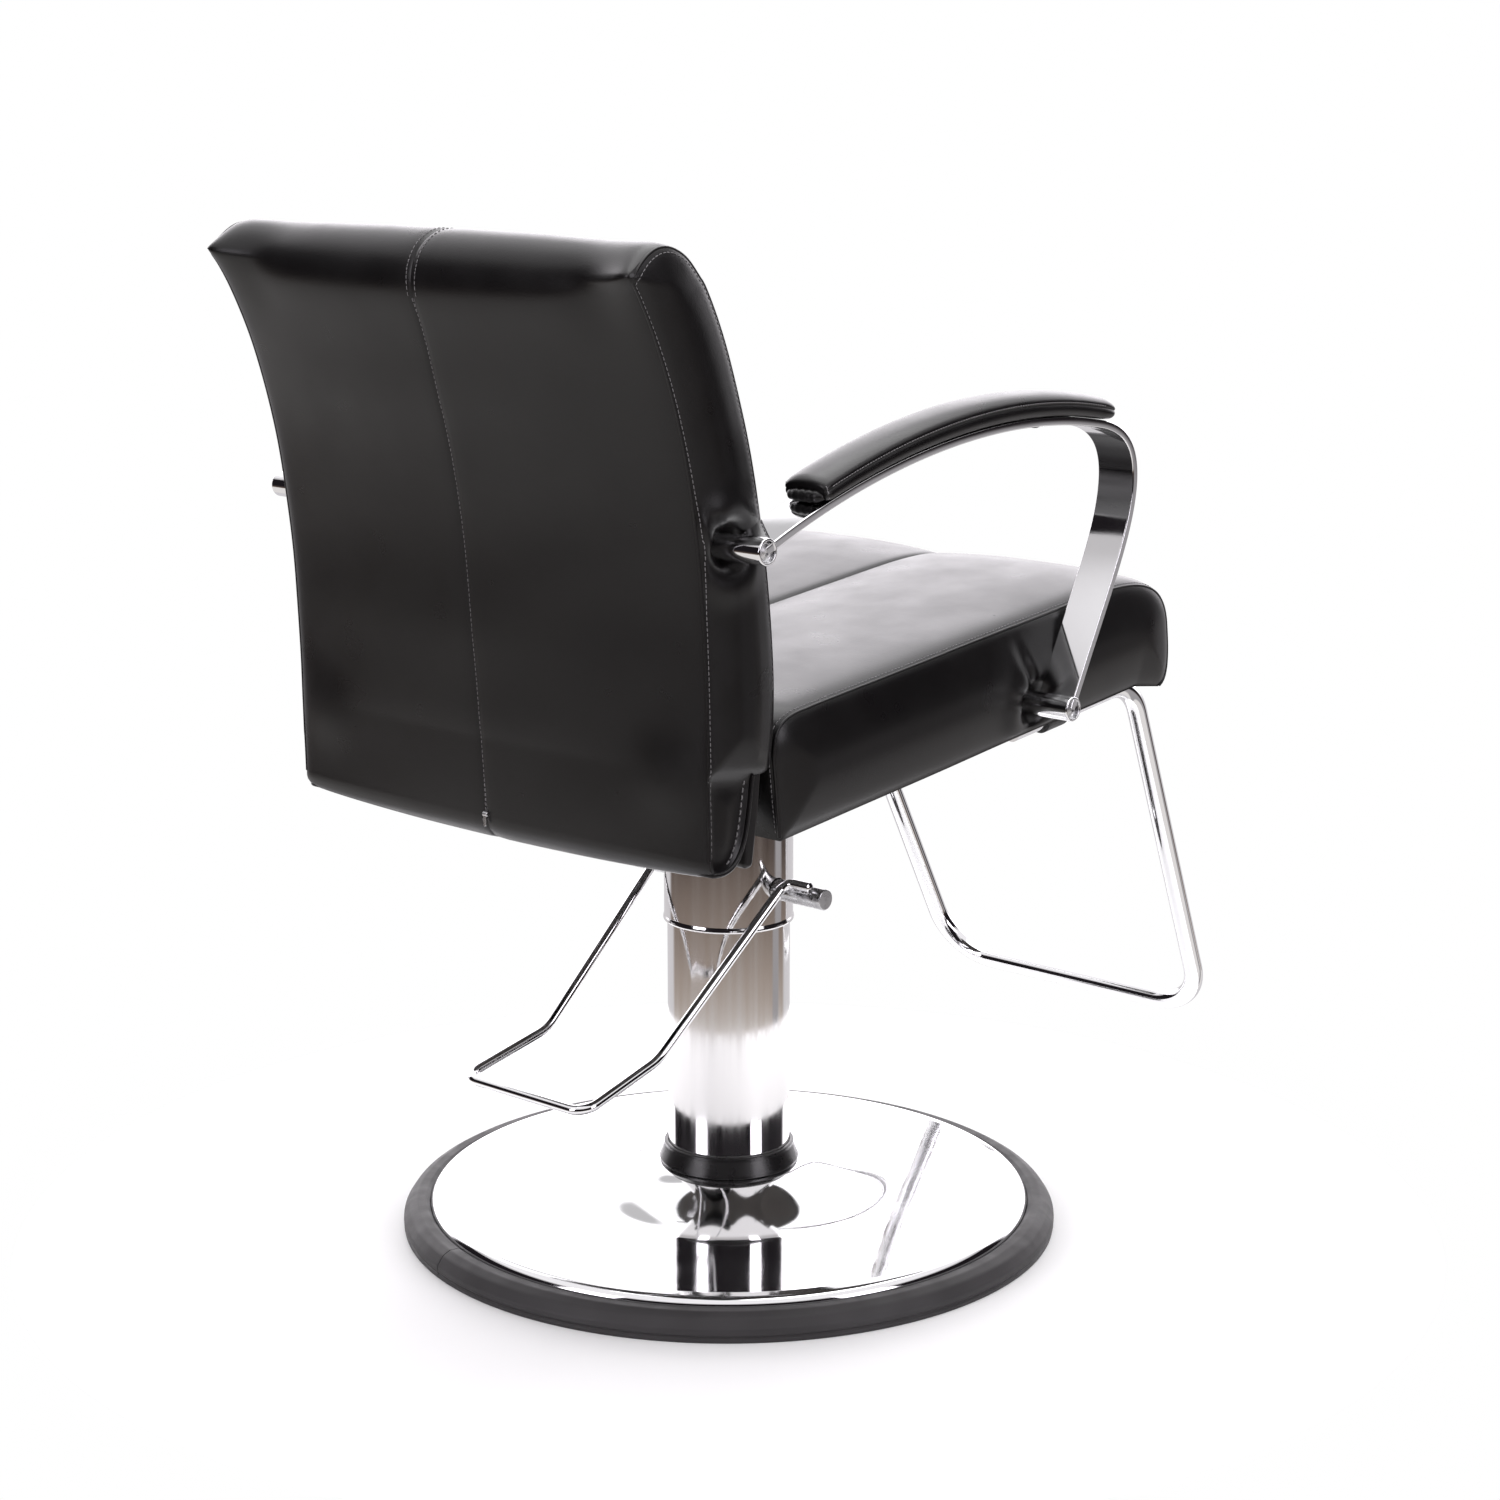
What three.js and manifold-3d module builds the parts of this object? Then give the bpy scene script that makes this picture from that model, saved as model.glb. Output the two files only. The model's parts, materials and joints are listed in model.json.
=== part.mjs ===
// Salon styling chair: round base, hydraulic column, boxed seat, padded back, flat-bar arms, tube footrest.
// Millimetres, +Z up. The floor is Z = 0, the column is the Z axis, the front of the chair faces -Y.

import * as THREE from "three";
import { mergeVertices } from "three/addons/utils/BufferGeometryUtils.js";
import Module from "manifold-3d";

const wasm = await Module();
wasm.setup();

// ---------------------------------------------------------------- driving dimensions

const gap = 0.3; // clearance left between touching pieces

const baseRadius = 305; // outside of the rubber ring
const dishRadius = 279.8;
const dishRimHeight = 22;
const dishFlatHeight = 31;
const dishTopHeight = 57;
const dishWall = 2;
const plateRadius = 272;
const plateThickness = 5;

const lowerCoverRadius = 56.6;
const lowerCoverTop = 311;
const upperCoverRadius = 59.5;
const upperCoverBottom = 291;
const upperCoverTop = 440;
const coverWall = 1.4;
const cylinderRadius = 51;
const cylinderBore = 46;
const cylinderBottom = 100;
const cylinderTop = 300;
const rodRadius = 14;

const pedalHeight = 328; // height of the cross rod
const pedalRodRadius = 9.5;
const pedalRodReach = 117; // half its length
const bailWireRadius = 4.5;
const bailHalfWidth = 68.5;

const seatTilt = THREE.MathUtils.degToRad(5.85); // front edge up
const seatUnderside = 464; // height of the seat's underside on the column axis
const seatHalfWidth = 240;
const seatCrown = 10;
const boardThickness = 12;

const backHalfWidth = 243;
const backCrownRear = 20;
const backCrownFront = 12;
const backBoardSet = 51; // rear outline to the board's rear face
const backBoardThickness = 10;
const backTop = 930;
const tailBottom = 431; // bottom of the narrow lower part of the back
const padBottom = 506; // bottom of the front pad of the back

const armOuter = 287; // outer faces of the arms, from the middle of the chair
const armWidth = 38;
const armThickness = 7;
const barrelRadius = 11;
const rearBarrel = { y: 275, z: 695.3 };
const frontBarrel = { y: -134.5, z: 505.5 };
const armPadWidth = 44;
const armPadHeight = 17;

const footTubeRadius = 9.5;
const footHalfWidthTop = 185;
const footHalfWidthBottom = 162.5;

// ---------------------------------------------------------------- materials

function finish(colour, roughness, metalness) {
  return new THREE.MeshStandardMaterial({ color: colour, roughness, metalness });
}

const chrome = finish(0xd8d9dc, 0.08, 1);
const steel = finish(0x9a9c9f, 0.35, 1);
const blackPaint = finish(0x1b1b1c, 0.5, 0.2);
const castIron = finish(0x3a3a3c, 0.6, 0.6);
const rubber = finish(0x3c3a3a, 0.75, 0);
const nylon = finish(0xe2dfd6, 0.5, 0);
const plywood = finish(0xb98f5e, 0.7, 0);
const vinyl = finish(0x1f1d1e, 0.45, 0);

// ---------------------------------------------------------------- helpers

const chair = new THREE.Group();
chair.name = "styling_chair";

function signedVolume(geometry) {
  const position = geometry.getAttribute("position");
  const index = geometry.getIndex().array;
  const a = new THREE.Vector3();
  const b = new THREE.Vector3();
  const c = new THREE.Vector3();
  let volume = 0;
  for (let i = 0; i < index.length; i += 3) {
    a.fromBufferAttribute(position, index[i]);
    b.fromBufferAttribute(position, index[i + 1]);
    c.fromBufferAttribute(position, index[i + 2]);
    volume += a.dot(b.cross(c)) / 6;
  }
  return volume;
}

// Welds the corners of a closed surface and turns its faces outward.
function weld(geometry) {
  geometry.deleteAttribute("normal");
  geometry.deleteAttribute("uv");
  const merged = mergeVertices(geometry, 1e-4);
  const index = merged.getIndex().array;
  const kept = [];
  for (let i = 0; i < index.length; i += 3) {
    const [p, q, r] = [index[i], index[i + 1], index[i + 2]];
    if (p !== q && q !== r && r !== p) kept.push(p, q, r);
  }
  merged.setIndex(kept);
  if (signedVolume(merged) < 0) {
    for (let i = 0; i < kept.length; i += 3) [kept[i], kept[i + 1]] = [kept[i + 1], kept[i]];
    merged.setIndex(kept);
  }
  return merged;
}

function toManifold(geometry) {
  const welded = weld(geometry.clone());
  return new wasm.Manifold(
    new wasm.Mesh({
      numProp: 3,
      vertProperties: new Float32Array(welded.getAttribute("position").array),
      triVerts: new Uint32Array(welded.getIndex().array),
    }),
  );
}

function fromManifold(solid) {
  const mesh = solid.getMesh();
  const geometry = new THREE.BufferGeometry();
  geometry.setAttribute("position", new THREE.BufferAttribute(new Float32Array(mesh.vertProperties), 3));
  geometry.setIndex(Array.from(mesh.triVerts));
  return geometry;
}

function join(...geometries) {
  return fromManifold(geometries.map(toManifold).reduce((sum, next) => sum.add(next)));
}

function cut(geometry, ...tools) {
  const blank = toManifold(geometry);
  return fromManifold(tools.map(toManifold).reduce((rest, tool) => rest.subtract(tool), blank));
}

function add(name, geometry, material) {
  const welded = weld(geometry);
  welded.computeVertexNormals();
  const mesh = new THREE.Mesh(welded, material);
  mesh.name = name;
  chair.add(mesh);
}

// Solid of revolution about Z from [radius, height] points.
function turned(points, segments = 28) {
  const outline = points.map(([radius, height]) => new THREE.Vector2(radius, height));
  return new THREE.LatheGeometry(outline, segments).rotateX(Math.PI / 2);
}

function ring(inner, outer, bottom, top, segments = 28) {
  return turned([[inner, bottom], [outer, bottom], [outer, top], [inner, top], [inner, bottom]], segments);
}

function disc(radius, bottom, top, segments = 28) {
  return turned([[0, bottom], [radius, bottom], [radius, top], [0, top]], segments);
}

function block(width, depth, height, x, y, z) {
  return new THREE.BoxGeometry(width, depth, height).translate(x, y, z);
}

// Outline drawn in the side view (Y across, Z up), given a width along X and centred on x.
function sideSlab(outline, width, x, { round = 0, steps = 1, roundSteps = 2, curveSegments = 12 } = {}) {
  const geometry = new THREE.ExtrudeGeometry(outline, {
    depth: width - 2 * round,
    steps,
    curveSegments,
    bevelEnabled: round > 0,
    bevelThickness: round,
    bevelSize: round,
    bevelOffset: -round,
    bevelSegments: roundSteps,
  });
  geometry.translate(0, 0, -(width - 2 * round) / 2);
  const turn = new THREE.Matrix4().makeBasis(
    new THREE.Vector3(0, 1, 0),
    new THREE.Vector3(0, 0, 1),
    new THREE.Vector3(1, 0, 0),
  );
  return geometry.applyMatrix4(turn).translate(x, 0, 0);
}

// Round bar along X from one end to the other.
function barX(radius, from, to, y, z, segments = 16) {
  const geometry = new THREE.CylinderGeometry(radius, radius, Math.abs(to - from), segments);
  return geometry.rotateZ(Math.PI / 2).translate((from + to) / 2, y, z);
}

// Path given by its own stations: one step along each straight run, several round each bend.
class StationPath extends THREE.Curve {
  constructor(points, tangents) {
    super();
    this.points = points;
    this.tangents = tangents;
  }

  getPointAt(share) {
    return this.points[Math.round(share * (this.points.length - 1))].clone();
  }

  getTangentAt(share) {
    return this.tangents[Math.round(share * (this.points.length - 1))].clone();
  }
}

// Path of straight runs whose corners are rounded, each corner given as { at: [x, y, z], radius }.
function bentPath(start, corners, end, bendSteps) {
  const stops = [start, ...corners.map((corner) => corner.at), end].map((p) => new THREE.Vector3(...p));
  const points = [stops[0]];
  const tangents = [stops[1].clone().sub(stops[0]).normalize()];
  corners.forEach((corner, i) => {
    const point = stops[i + 1];
    const before = stops[i].clone().sub(point).normalize();
    const after = stops[i + 2].clone().sub(point).normalize();
    const reach = corner.radius / Math.tan(before.angleTo(after) / 2);
    const bend = new THREE.QuadraticBezierCurve3(
      point.clone().addScaledVector(before, reach),
      point,
      point.clone().addScaledVector(after, reach),
    );
    for (let k = 0; k <= bendSteps; k += 1) {
      points.push(bend.getPoint(k / bendSteps));
      tangents.push(bend.getTangent(k / bendSteps));
    }
  });
  points.push(stops[stops.length - 1]);
  tangents.push(tangents[tangents.length - 1].clone());
  return new StationPath(points, tangents);
}

function circleShape(radius, segments) {
  const shape = new THREE.Shape();
  for (let i = 0; i < segments; i += 1) {
    const angle = (2 * Math.PI * i) / segments;
    if (i === 0) shape.moveTo(radius, 0);
    else shape.lineTo(radius * Math.cos(angle), radius * Math.sin(angle));
  }
  shape.closePath();
  return shape;
}

function bentBar(path, radius, segments) {
  const options = { extrudePath: path, steps: path.points.length - 1, bevelEnabled: false };
  return new THREE.ExtrudeGeometry(circleShape(radius, segments), options);
}

// Moves every corner of a surface by the amount a rule gives for it.
function shaped(geometry, rule) {
  const position = geometry.getAttribute("position");
  const point = new THREE.Vector3();
  for (let i = 0; i < position.count; i += 1) {
    point.fromBufferAttribute(position, i);
    point.add(rule(point));
    position.setXYZ(i, point.x, point.y, point.z);
  }
  return geometry;
}

// Hexagon-headed bolt with its head on top and its shank pointing down the Z axis.
function hexBolt(headWidth, headHeight, shankRadius, shankLength) {
  const head = new THREE.CylinderGeometry(headWidth / 2, headWidth / 2, headHeight, 6).rotateX(Math.PI / 2);
  const shank = disc(shankRadius, -shankLength, 0.5, 8);
  return join(head.translate(0, 0, headHeight / 2), shank);
}

// Button-headed bolt along X with a hexagon socket: the head's outer face is at x = 0, the shank runs to +X.
function buttonBolt(headRadius, headHeight, shankRadius, shankLength) {
  const domeOutline = [
    [0, 0],
    [headRadius, 0],
    [headRadius * 0.92, 1.2],
    [headRadius * 0.55, headHeight],
    [0, headHeight],
  ];
  const dome = turned(domeOutline, 16);
  const socket = new THREE.CylinderGeometry(headRadius * 0.4, headRadius * 0.4, 3, 6).rotateX(Math.PI / 2);
  const head = cut(dome, socket.translate(0, 0, headHeight));
  const shank = disc(shankRadius, -shankLength, 0.5, 8);
  return join(head, shank).translate(0, 0, -headHeight).rotateY(-Math.PI / 2);
}

function onSeat(geometry) {
  return geometry.rotateX(-seatTilt).translate(0, 0, seatUnderside);
}

const sides = [
  { name: "right", x: -1 },
  { name: "left", x: 1 },
];

// ---------------------------------------------------------------- base

add("base_plate", disc(plateRadius, 0, plateThickness, 44), castIron);

// A low cone under the column runs out into a nearly level ring with a rolled lip.
const dishOutline = [
  [54, dishTopHeight],
  [64, dishTopHeight],
  [71, dishTopHeight - 2],
  [131, dishFlatHeight + 6],
  [142, dishFlatHeight + 3],
  [156, dishFlatHeight + 1.5],
  [265, dishFlatHeight],
  [272, dishFlatHeight - 2],
  [277.5, dishFlatHeight - 6],
  [dishRadius, dishRimHeight - 2],
  [dishRadius, plateThickness + 1],
];
const dishInside = dishOutline
  .slice(0, -2)
  .map(([radius, height]) => [radius, height - dishWall])
  .reverse();
const rimBore = dishRadius - dishWall;
const dishRimInside = [[rimBore, plateThickness + 1], [rimBore, dishRimHeight - 5]];
add("base_dish", turned([...dishOutline, ...dishRimInside, ...dishInside, dishOutline[0]], 44), chrome);

const ringInner = dishRadius + gap;
const ringOutline = [
  [ringInner, 4],
  [ringInner, 20],
  [ringInner + 4, 23.5],
  [290, 24.5],
  [298, 22],
  [303.4, 15.5],
  [baseRadius, 9],
  [304, 5],
  [302, 4.2],
  [302.5, 2.6],
  [300, 0],
  [284, 0],
  [ringInner, 4],
];
add("bumper_ring", turned(ringOutline, 44), rubber);

const flangeBoltCircle = 74;
const flangeBolts = [45, 135, 225, 315].map((degrees) => {
  const angle = THREE.MathUtils.degToRad(degrees);
  return [flangeBoltCircle * Math.cos(angle), flangeBoltCircle * Math.sin(angle)];
});
const flangeTop = plateThickness + gap + 12;
const flangeBlank = turned([
  [0, plateThickness + gap],
  [92, plateThickness + gap],
  [92, flangeTop],
  [46, flangeTop],
  [40, flangeTop + 5],
  [38, 74],
  [0, 74],
]);
const flangeHoles = flangeBolts.map(([x, y]) => {
  return disc(4.4, plateThickness + gap + 1, 30, 8).translate(x, y, 0);
});
add("pump_flange", cut(flangeBlank, ...flangeHoles), castIron);
flangeBolts.forEach(([x, y], i) => {
  add(`flange_bolt_${i + 1}`, hexBolt(15, 6, 4, 10).translate(x, y, flangeTop + gap), steel);
});

const coverBottom = dishTopHeight + gap;
const lowerCoverBore = lowerCoverRadius - coverWall;
add("lower_cover", ring(lowerCoverBore, lowerCoverRadius, coverBottom, lowerCoverTop, 36), chrome);

const bootOutline = [
  [lowerCoverRadius + gap, coverBottom],
  [63.5, coverBottom],
  [65.2, coverBottom + 2.6],
  [64.2, coverBottom + 6],
  [61.2, coverBottom + 11],
  [60, coverBottom + 16],
  [60.4, coverBottom + 18],
  [59.4, coverBottom + 19],
  [lowerCoverRadius + gap, coverBottom + 18.4],
  [lowerCoverRadius + gap, coverBottom],
];
add("cover_boot", turned(bootOutline, 36), rubber);

const guideOuter = lowerCoverBore - gap;
add("guide_ring", ring(cylinderRadius + gap, guideOuter, lowerCoverTop - 16, lowerCoverTop - 1, 32), nylon);

const pistonOutline = [
  [0, 74 + gap],
  [rodRadius, 74 + gap],
  [rodRadius, 262],
  [cylinderBore - 0.5, 262],
  [cylinderBore - 0.5, 268],
  [cylinderBore - 3, 268],
  [cylinderBore - 3, 272],
  [cylinderBore - 0.5, 272],
  [cylinderBore - 0.5, 280],
  [0, 280],
];
add("piston_rod", turned(pistonOutline, 24), steel);

// ---------------------------------------------------------------- rising cylinder

const cylinderOutline = [
  [cylinderBore, cylinderBottom],
  [cylinderRadius, cylinderBottom],
  [cylinderRadius, cylinderTop - 1],
  [cylinderRadius - 1, cylinderTop],
  [0, cylinderTop],
  [0, cylinderTop - 8],
  [cylinderBore, cylinderTop - 8],
  [cylinderBore, cylinderBottom],
];
add("pump_cylinder", turned(cylinderOutline, 36), chrome);
const glandBottom = cylinderBottom + 2;
add("gland_bush", ring(rodRadius + gap, cylinderBore - gap, glandBottom, glandBottom + 12, 24), nylon);
add("bearing_lower_race", ring(24, 44, cylinderTop + gap, cylinderTop + 4, 28), steel);

// ---------------------------------------------------------------- turning head and column cover

add("bearing_upper_race", ring(24, 44, cylinderTop + 4.4, cylinderTop + 8.4, 28), steel);

const headBottom = cylinderTop + 8.7;
const headTop = 404;
const plungerY = -16;
const plungerRadius = 6;
const camPocket = block(17, 44, 36, 0, -11, pedalHeight + 1);
const rodBore = barX(pedalRodRadius + gap, -60, 60, 0, pedalHeight, 24);
const plungerBore = disc(plungerRadius + gap, pedalHeight + 10, 392, 20).translate(0, plungerY, 0);
add("pump_head", cut(disc(46, headBottom, headTop, 36), rodBore, camPocket, plungerBore), castIron);

const coverTube = turned([
  [upperCoverRadius - coverWall, upperCoverBottom + 2],
  [upperCoverRadius - 0.8, upperCoverBottom],
  [upperCoverRadius + 0.6, upperCoverBottom],
  [upperCoverRadius + 0.9, upperCoverBottom + 2],
  [upperCoverRadius, upperCoverBottom + 4],
  [upperCoverRadius, upperCoverTop],
  [upperCoverRadius - coverWall, upperCoverTop],
  [upperCoverRadius - coverWall, upperCoverBottom + 2],
], 36);
add("upper_cover", cut(coverTube, barX(pedalRodRadius + 1, -70, 70, 0, pedalHeight, 16)), chrome);

// Seat mount: a turned post with a plate that lies along the sloping underside of the seat.
const mountPlateThickness = 6;
const mountBoltSpots = [[-78, -70], [78, -70], [-78, 80], [78, 80]];
const mountPlate = onSeat(block(200, 200, mountPlateThickness, 0, 5, -mountPlateThickness / 2 - gap));
const mountPost = disc(28, headTop + gap, seatUnderside - 6, 32);
const mountHoles = mountBoltSpots.map(([x, y]) => onSeat(disc(4.4, -20, 5, 8).translate(x, y, 0)));
add("seat_mount", cut(join(mountPlate, mountPost), ...mountHoles), blackPaint);

// ---------------------------------------------------------------- seat

// Bolt that holds a plate of the given thickness to the seat board from below.
function underBolt(x, y, plate) {
  const bolt = hexBolt(14, 5.5, 4, plate + 10).rotateX(Math.PI);
  return onSeat(bolt.translate(x, y, -plate - 2 * gap));
}

mountBoltSpots.forEach(([x, y], i) => {
  add(`mount_bolt_${i + 1}`, underBolt(x, y, mountPlateThickness), steel);
});

const boardWidth = 2 * seatHalfWidth - 16;
const boardFront = -336;
const boardRear = 200;
const boardDepth = boardRear - boardFront;
const boardMiddle = (boardRear + boardFront) / 2;
const clampSpots = sides.map((side) => [side.x * footHalfWidthTop, -238]);
const strapSpots = sides.map((side) => [side.x * 120, 150]);
const strapHalfWidth = 20;

const clampBoltSpots = clampSpots.flatMap(([x, y]) => [[x - 24, y], [x + 24, y]]);
const boardHoleSpots = [...mountBoltSpots, ...clampBoltSpots, ...strapSpots];
const boardHoles = boardHoleSpots.map(([x, y]) => {
  return disc(4.4, -1, boardThickness + 1, 8).translate(x, y, 0);
});
const seatBoard = block(boardWidth, boardDepth, boardThickness, 0, boardMiddle, boardThickness / 2);
add("seat_board", onSeat(cut(seatBoard, ...boardHoles)), plywood);

const seatOutline = new THREE.Shape();
seatOutline.moveTo(206, 0);
seatOutline.lineTo(207, 74);
seatOutline.quadraticCurveTo(206, 98, 170, 101);
for (let y = 120; y >= -180; y -= 60) seatOutline.lineTo(y, 102);
seatOutline.bezierCurveTo(-294, 102, -354, 101, -354, 42);
seatOutline.quadraticCurveTo(-355, -10, -332, -10);
seatOutline.lineTo(-300, 0);
seatOutline.closePath();

function seatPuff(point) {
  const across = Math.min(Math.abs(point.x) / seatHalfWidth, 1);
  const panel = 1 - (2 * across - 1) ** 2;
  const rise = THREE.MathUtils.clamp((point.z - 60) / 42, 0, 1);
  return new THREE.Vector3(0, 0, seatCrown * panel * rise);
}

const seatBlank = sideSlab(seatOutline, 2 * seatHalfWidth, 0, { round: 7, steps: 8, curveSegments: 7 });
const pocketTop = boardThickness + gap;
const boardPocket = block(boardWidth + 2 * gap, boardDepth + 2 * gap, 40, 0, boardMiddle, pocketTop - 20);
const frontBarrelLocal = new THREE.Vector3(0, frontBarrel.y, frontBarrel.z - seatUnderside);
frontBarrelLocal.applyAxisAngle(new THREE.Vector3(1, 0, 0), seatTilt);
const shankReach = 22;
const seatBoltHoles = sides.map((side) => {
  const from = side.x * (seatHalfWidth - shankReach - 1);
  return barX(5.5, from, side.x * 260, frontBarrelLocal.y, frontBarrelLocal.z, 12);
});
add("seat_cushion", onSeat(cut(shaped(seatBlank, seatPuff), boardPocket, ...seatBoltHoles)), vinyl);

// ---------------------------------------------------------------- back

// Side-view line of the rear of the back, moved forward by `set`, from the tail up to the top edge.
function rearLine(set) {
  return new THREE.CubicBezierCurve(
    new THREE.Vector2(294 - set, tailBottom),
    new THREE.Vector2(296 - set, 604.8),
    new THREE.Vector2(293.1 - set, 772.1),
    new THREE.Vector2(377 - set, 905),
  );
}

// Points of a side-view line at the given heights.
function atHeights(curve, heights) {
  const points = curve.getPoints(200);
  return heights.map((height) => {
    const next = THREE.MathUtils.clamp(points.findIndex((p) => p.y >= height), 1, points.length - 1);
    const [below, above] = [points[next - 1], points[next]];
    const share = (height - below.y) / (above.y - below.y);
    return new THREE.Vector2(below.x + (above.x - below.x) * share, height);
  });
}

const frontLine = new THREE.CubicBezierCurve(
  new THREE.Vector2(226, 505),
  new THREE.Vector2(201.2, 558.1),
  new THREE.Vector2(234.7, 817.2),
  new THREE.Vector2(310, 917),
);
const boardTop = 870;
const splitTop = 904.9; // where the two pads meet above the board
const boardHeights = [tailBottom, padBottom, 570, 640, 700, 750, 795, 835, boardTop];
const padHeights = boardHeights.slice(1);

// Face of the board, parallel to the rear outline above and square to the seat below the front pad.
function boardFace(set, heights) {
  return atHeights(rearLine(set), heights).map((point) => {
    const lean = Math.max(padBottom - point.y, 0) * Math.tan(seatTilt);
    return new THREE.Vector2(point.x + lean, point.y);
  });
}

const boardRearFace = boardFace(backBoardSet + gap, boardHeights);
const boardFrontFace = boardFace(backBoardSet + gap + backBoardThickness, boardHeights);

const rearPadOutline = new THREE.Shape([
  ...atHeights(rearLine(0), [tailBottom + 6, ...padHeights, splitTop]),
  new THREE.Vector2(379, 915),
  new THREE.Vector2(374, 926),
  new THREE.Vector2(360, backTop),
  new THREE.Vector2(341, backTop),
  ...boardFace(backBoardSet, [...boardHeights, splitTop]).reverse(),
  new THREE.Vector2(288, tailBottom),
]);
const frontPadOutline = new THREE.Shape([
  ...atHeights(frontLine, [...padHeights.slice(1), 890, 916]).reverse(),
  new THREE.Vector2(220, padBottom + 8),
  new THREE.Vector2(222, padBottom),
  ...atHeights(rearLine(backBoardSet + backBoardThickness + 2 * gap), padHeights),
  ...atHeights(rearLine(backBoardSet + gap), [boardTop + 2 * gap, splitTop]),
  new THREE.Vector2(340.4, backTop),
  new THREE.Vector2(328, 927.5),
]);
const backBoardOutline = new THREE.Shape([...boardRearFace, ...[...boardFrontFace].reverse()]);

// Rounds a sheet across the chair: full in the middle, none at the side seams, growing between two heights.
function backPuff(reach, side, low, high) {
  return (point) => {
    const across = Math.min(Math.abs(point.x) / backHalfWidth, 1);
    const middle = rearLine(backBoardSet + backBoardThickness / 2);
    const line = atHeights(middle, [THREE.MathUtils.clamp(point.z, tailBottom, splitTop)])[0].x;
    const away = THREE.MathUtils.clamp((Math.abs(point.y - line) - 8) / 14, 0, 1);
    const grown = THREE.MathUtils.smoothstep(point.z, low, high);
    const top = 1 - THREE.MathUtils.clamp((point.z - 850) / (backTop - 850), 0, 1) ** 2 * 0.6;
    return new THREE.Vector3(0, side * reach * away * grown * top * (1 - across ** 2), 0);
  };
}

const rearBoltHoles = sides.map((side) => {
  return barX(5.5, side.x * (backHalfWidth - shankReach - 1), side.x * 260, rearBarrel.y, rearBarrel.z, 12);
});
const rearPad = sideSlab(rearPadOutline, 2 * backHalfWidth, 0, { round: 5, steps: 10, roundSteps: 1 });
add("back_rear_pad", cut(shaped(rearPad, backPuff(backCrownRear, 1, 250, 620)), ...rearBoltHoles), vinyl);

const frontPad = sideSlab(frontPadOutline, 2 * backHalfWidth, 0, { round: 3, steps: 10, roundSteps: 1 });
add("back_front_pad", shaped(frontPad, backPuff(backCrownFront, -1, 560, 700)), vinyl);

// The tail of the board in the seat's own frame, where it stands square to the seat.
const tailTop = boardFrontFace[1];
const seatAngle = new THREE.Vector2(Math.cos(seatTilt), Math.sin(seatTilt));
const tailFront = tailTop.x * seatAngle.x - (tailTop.y - seatUnderside) * seatAngle.y - gap;
const strapHoleHeight = 27;

function tailHole(side) {
  const hole = new THREE.CylinderGeometry(4.4, 4.4, 40, 12);
  return onSeat(hole.translate(side.x * 120, tailFront, strapHoleHeight));
}

const backBoard = sideSlab(backBoardOutline, 2 * backHalfWidth - 8, 0, { curveSegments: 4 });
add("back_board", cut(backBoard, ...sides.map(tailHole)), plywood);

add("zip_pull", block(3, 1.6, 9, 0, 306.5, tailBottom + 8.5), steel);

// Angle straps that tie the tail of the back to the underside of the seat board.
const strapThickness = 5;
const strapFront = 104;
sides.forEach((side) => {
  const x = side.x * 120;
  const length = tailFront - strapFront;
  const bottom = -strapThickness - gap;
  const width = 2 * strapHalfWidth;
  const flat = block(width, length, strapThickness, x, strapFront + length / 2, bottom + strapThickness / 2);
  const upright = block(width, strapThickness, 58, x, tailFront - strapThickness / 2, bottom + 29);
  const seatHole = onSeat(disc(4.4, -20, 5, 8).translate(x, 150, 0));
  add(`back_strap_${side.name}`, cut(onSeat(join(flat, upright)), seatHole, tailHole(side)), blackPaint);

  add(`strap_bolt_seat_${side.name}`, underBolt(x, 150, strapThickness), steel);
  const tailBolt = hexBolt(14, 5.5, 4, 13).rotateX(Math.PI / 2);
  tailBolt.translate(x, tailFront - strapThickness - gap, strapHoleHeight);
  add(`strap_bolt_back_${side.name}`, onSeat(tailBolt), steel);
});

// ---------------------------------------------------------------- arms

// Middle line of the flat bar in the side view, from the rear barrel over the top, down to the front barrel.
const armTop = new THREE.CubicBezierCurve(
  new THREE.Vector2(rearBarrel.y, rearBarrel.z),
  new THREE.Vector2(157.5, 745),
  new THREE.Vector2(-16.8, 782.7),
  new THREE.Vector2(-170, 754),
);
const armBend = new THREE.CubicBezierCurve(
  new THREE.Vector2(-170, 754),
  new THREE.Vector2(-207, 747),
  new THREE.Vector2(-226, 728),
  new THREE.Vector2(-221, 690),
);
const armLeg = new THREE.CubicBezierCurve(
  new THREE.Vector2(-221, 690),
  new THREE.Vector2(-215, 648),
  new THREE.Vector2(-188.3, 608.6),
  new THREE.Vector2(frontBarrel.y - 1, frontBarrel.z),
);

// Points of a curve moved sideways by `offset`, to the left of its direction.
function offsetPoints(curve, offset, count, first = 0) {
  const points = [];
  for (let i = first; i <= count; i += 1) {
    const share = i / count;
    const point = curve.getPoint(share);
    const tangent = curve.getTangent(share);
    points.push(new THREE.Vector2(point.x - tangent.y * offset, point.y + tangent.x * offset));
  }
  return points;
}

function armSide(offset) {
  return [
    ...offsetPoints(armTop, offset, 12),
    ...offsetPoints(armBend, offset, 6, 1),
    ...offsetPoints(armLeg, offset, 6, 1),
  ];
}

const armOutline = new THREE.Shape([...armSide(armThickness / 2), ...armSide(-armThickness / 2).reverse()]);
const padScrewSpots = [0.36, 0.84];
const barrels = [
  { place: "rear", at: rearBarrel, cushionHalf: backHalfWidth },
  { place: "front", at: frontBarrel, cushionHalf: seatHalfWidth },
];

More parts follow.
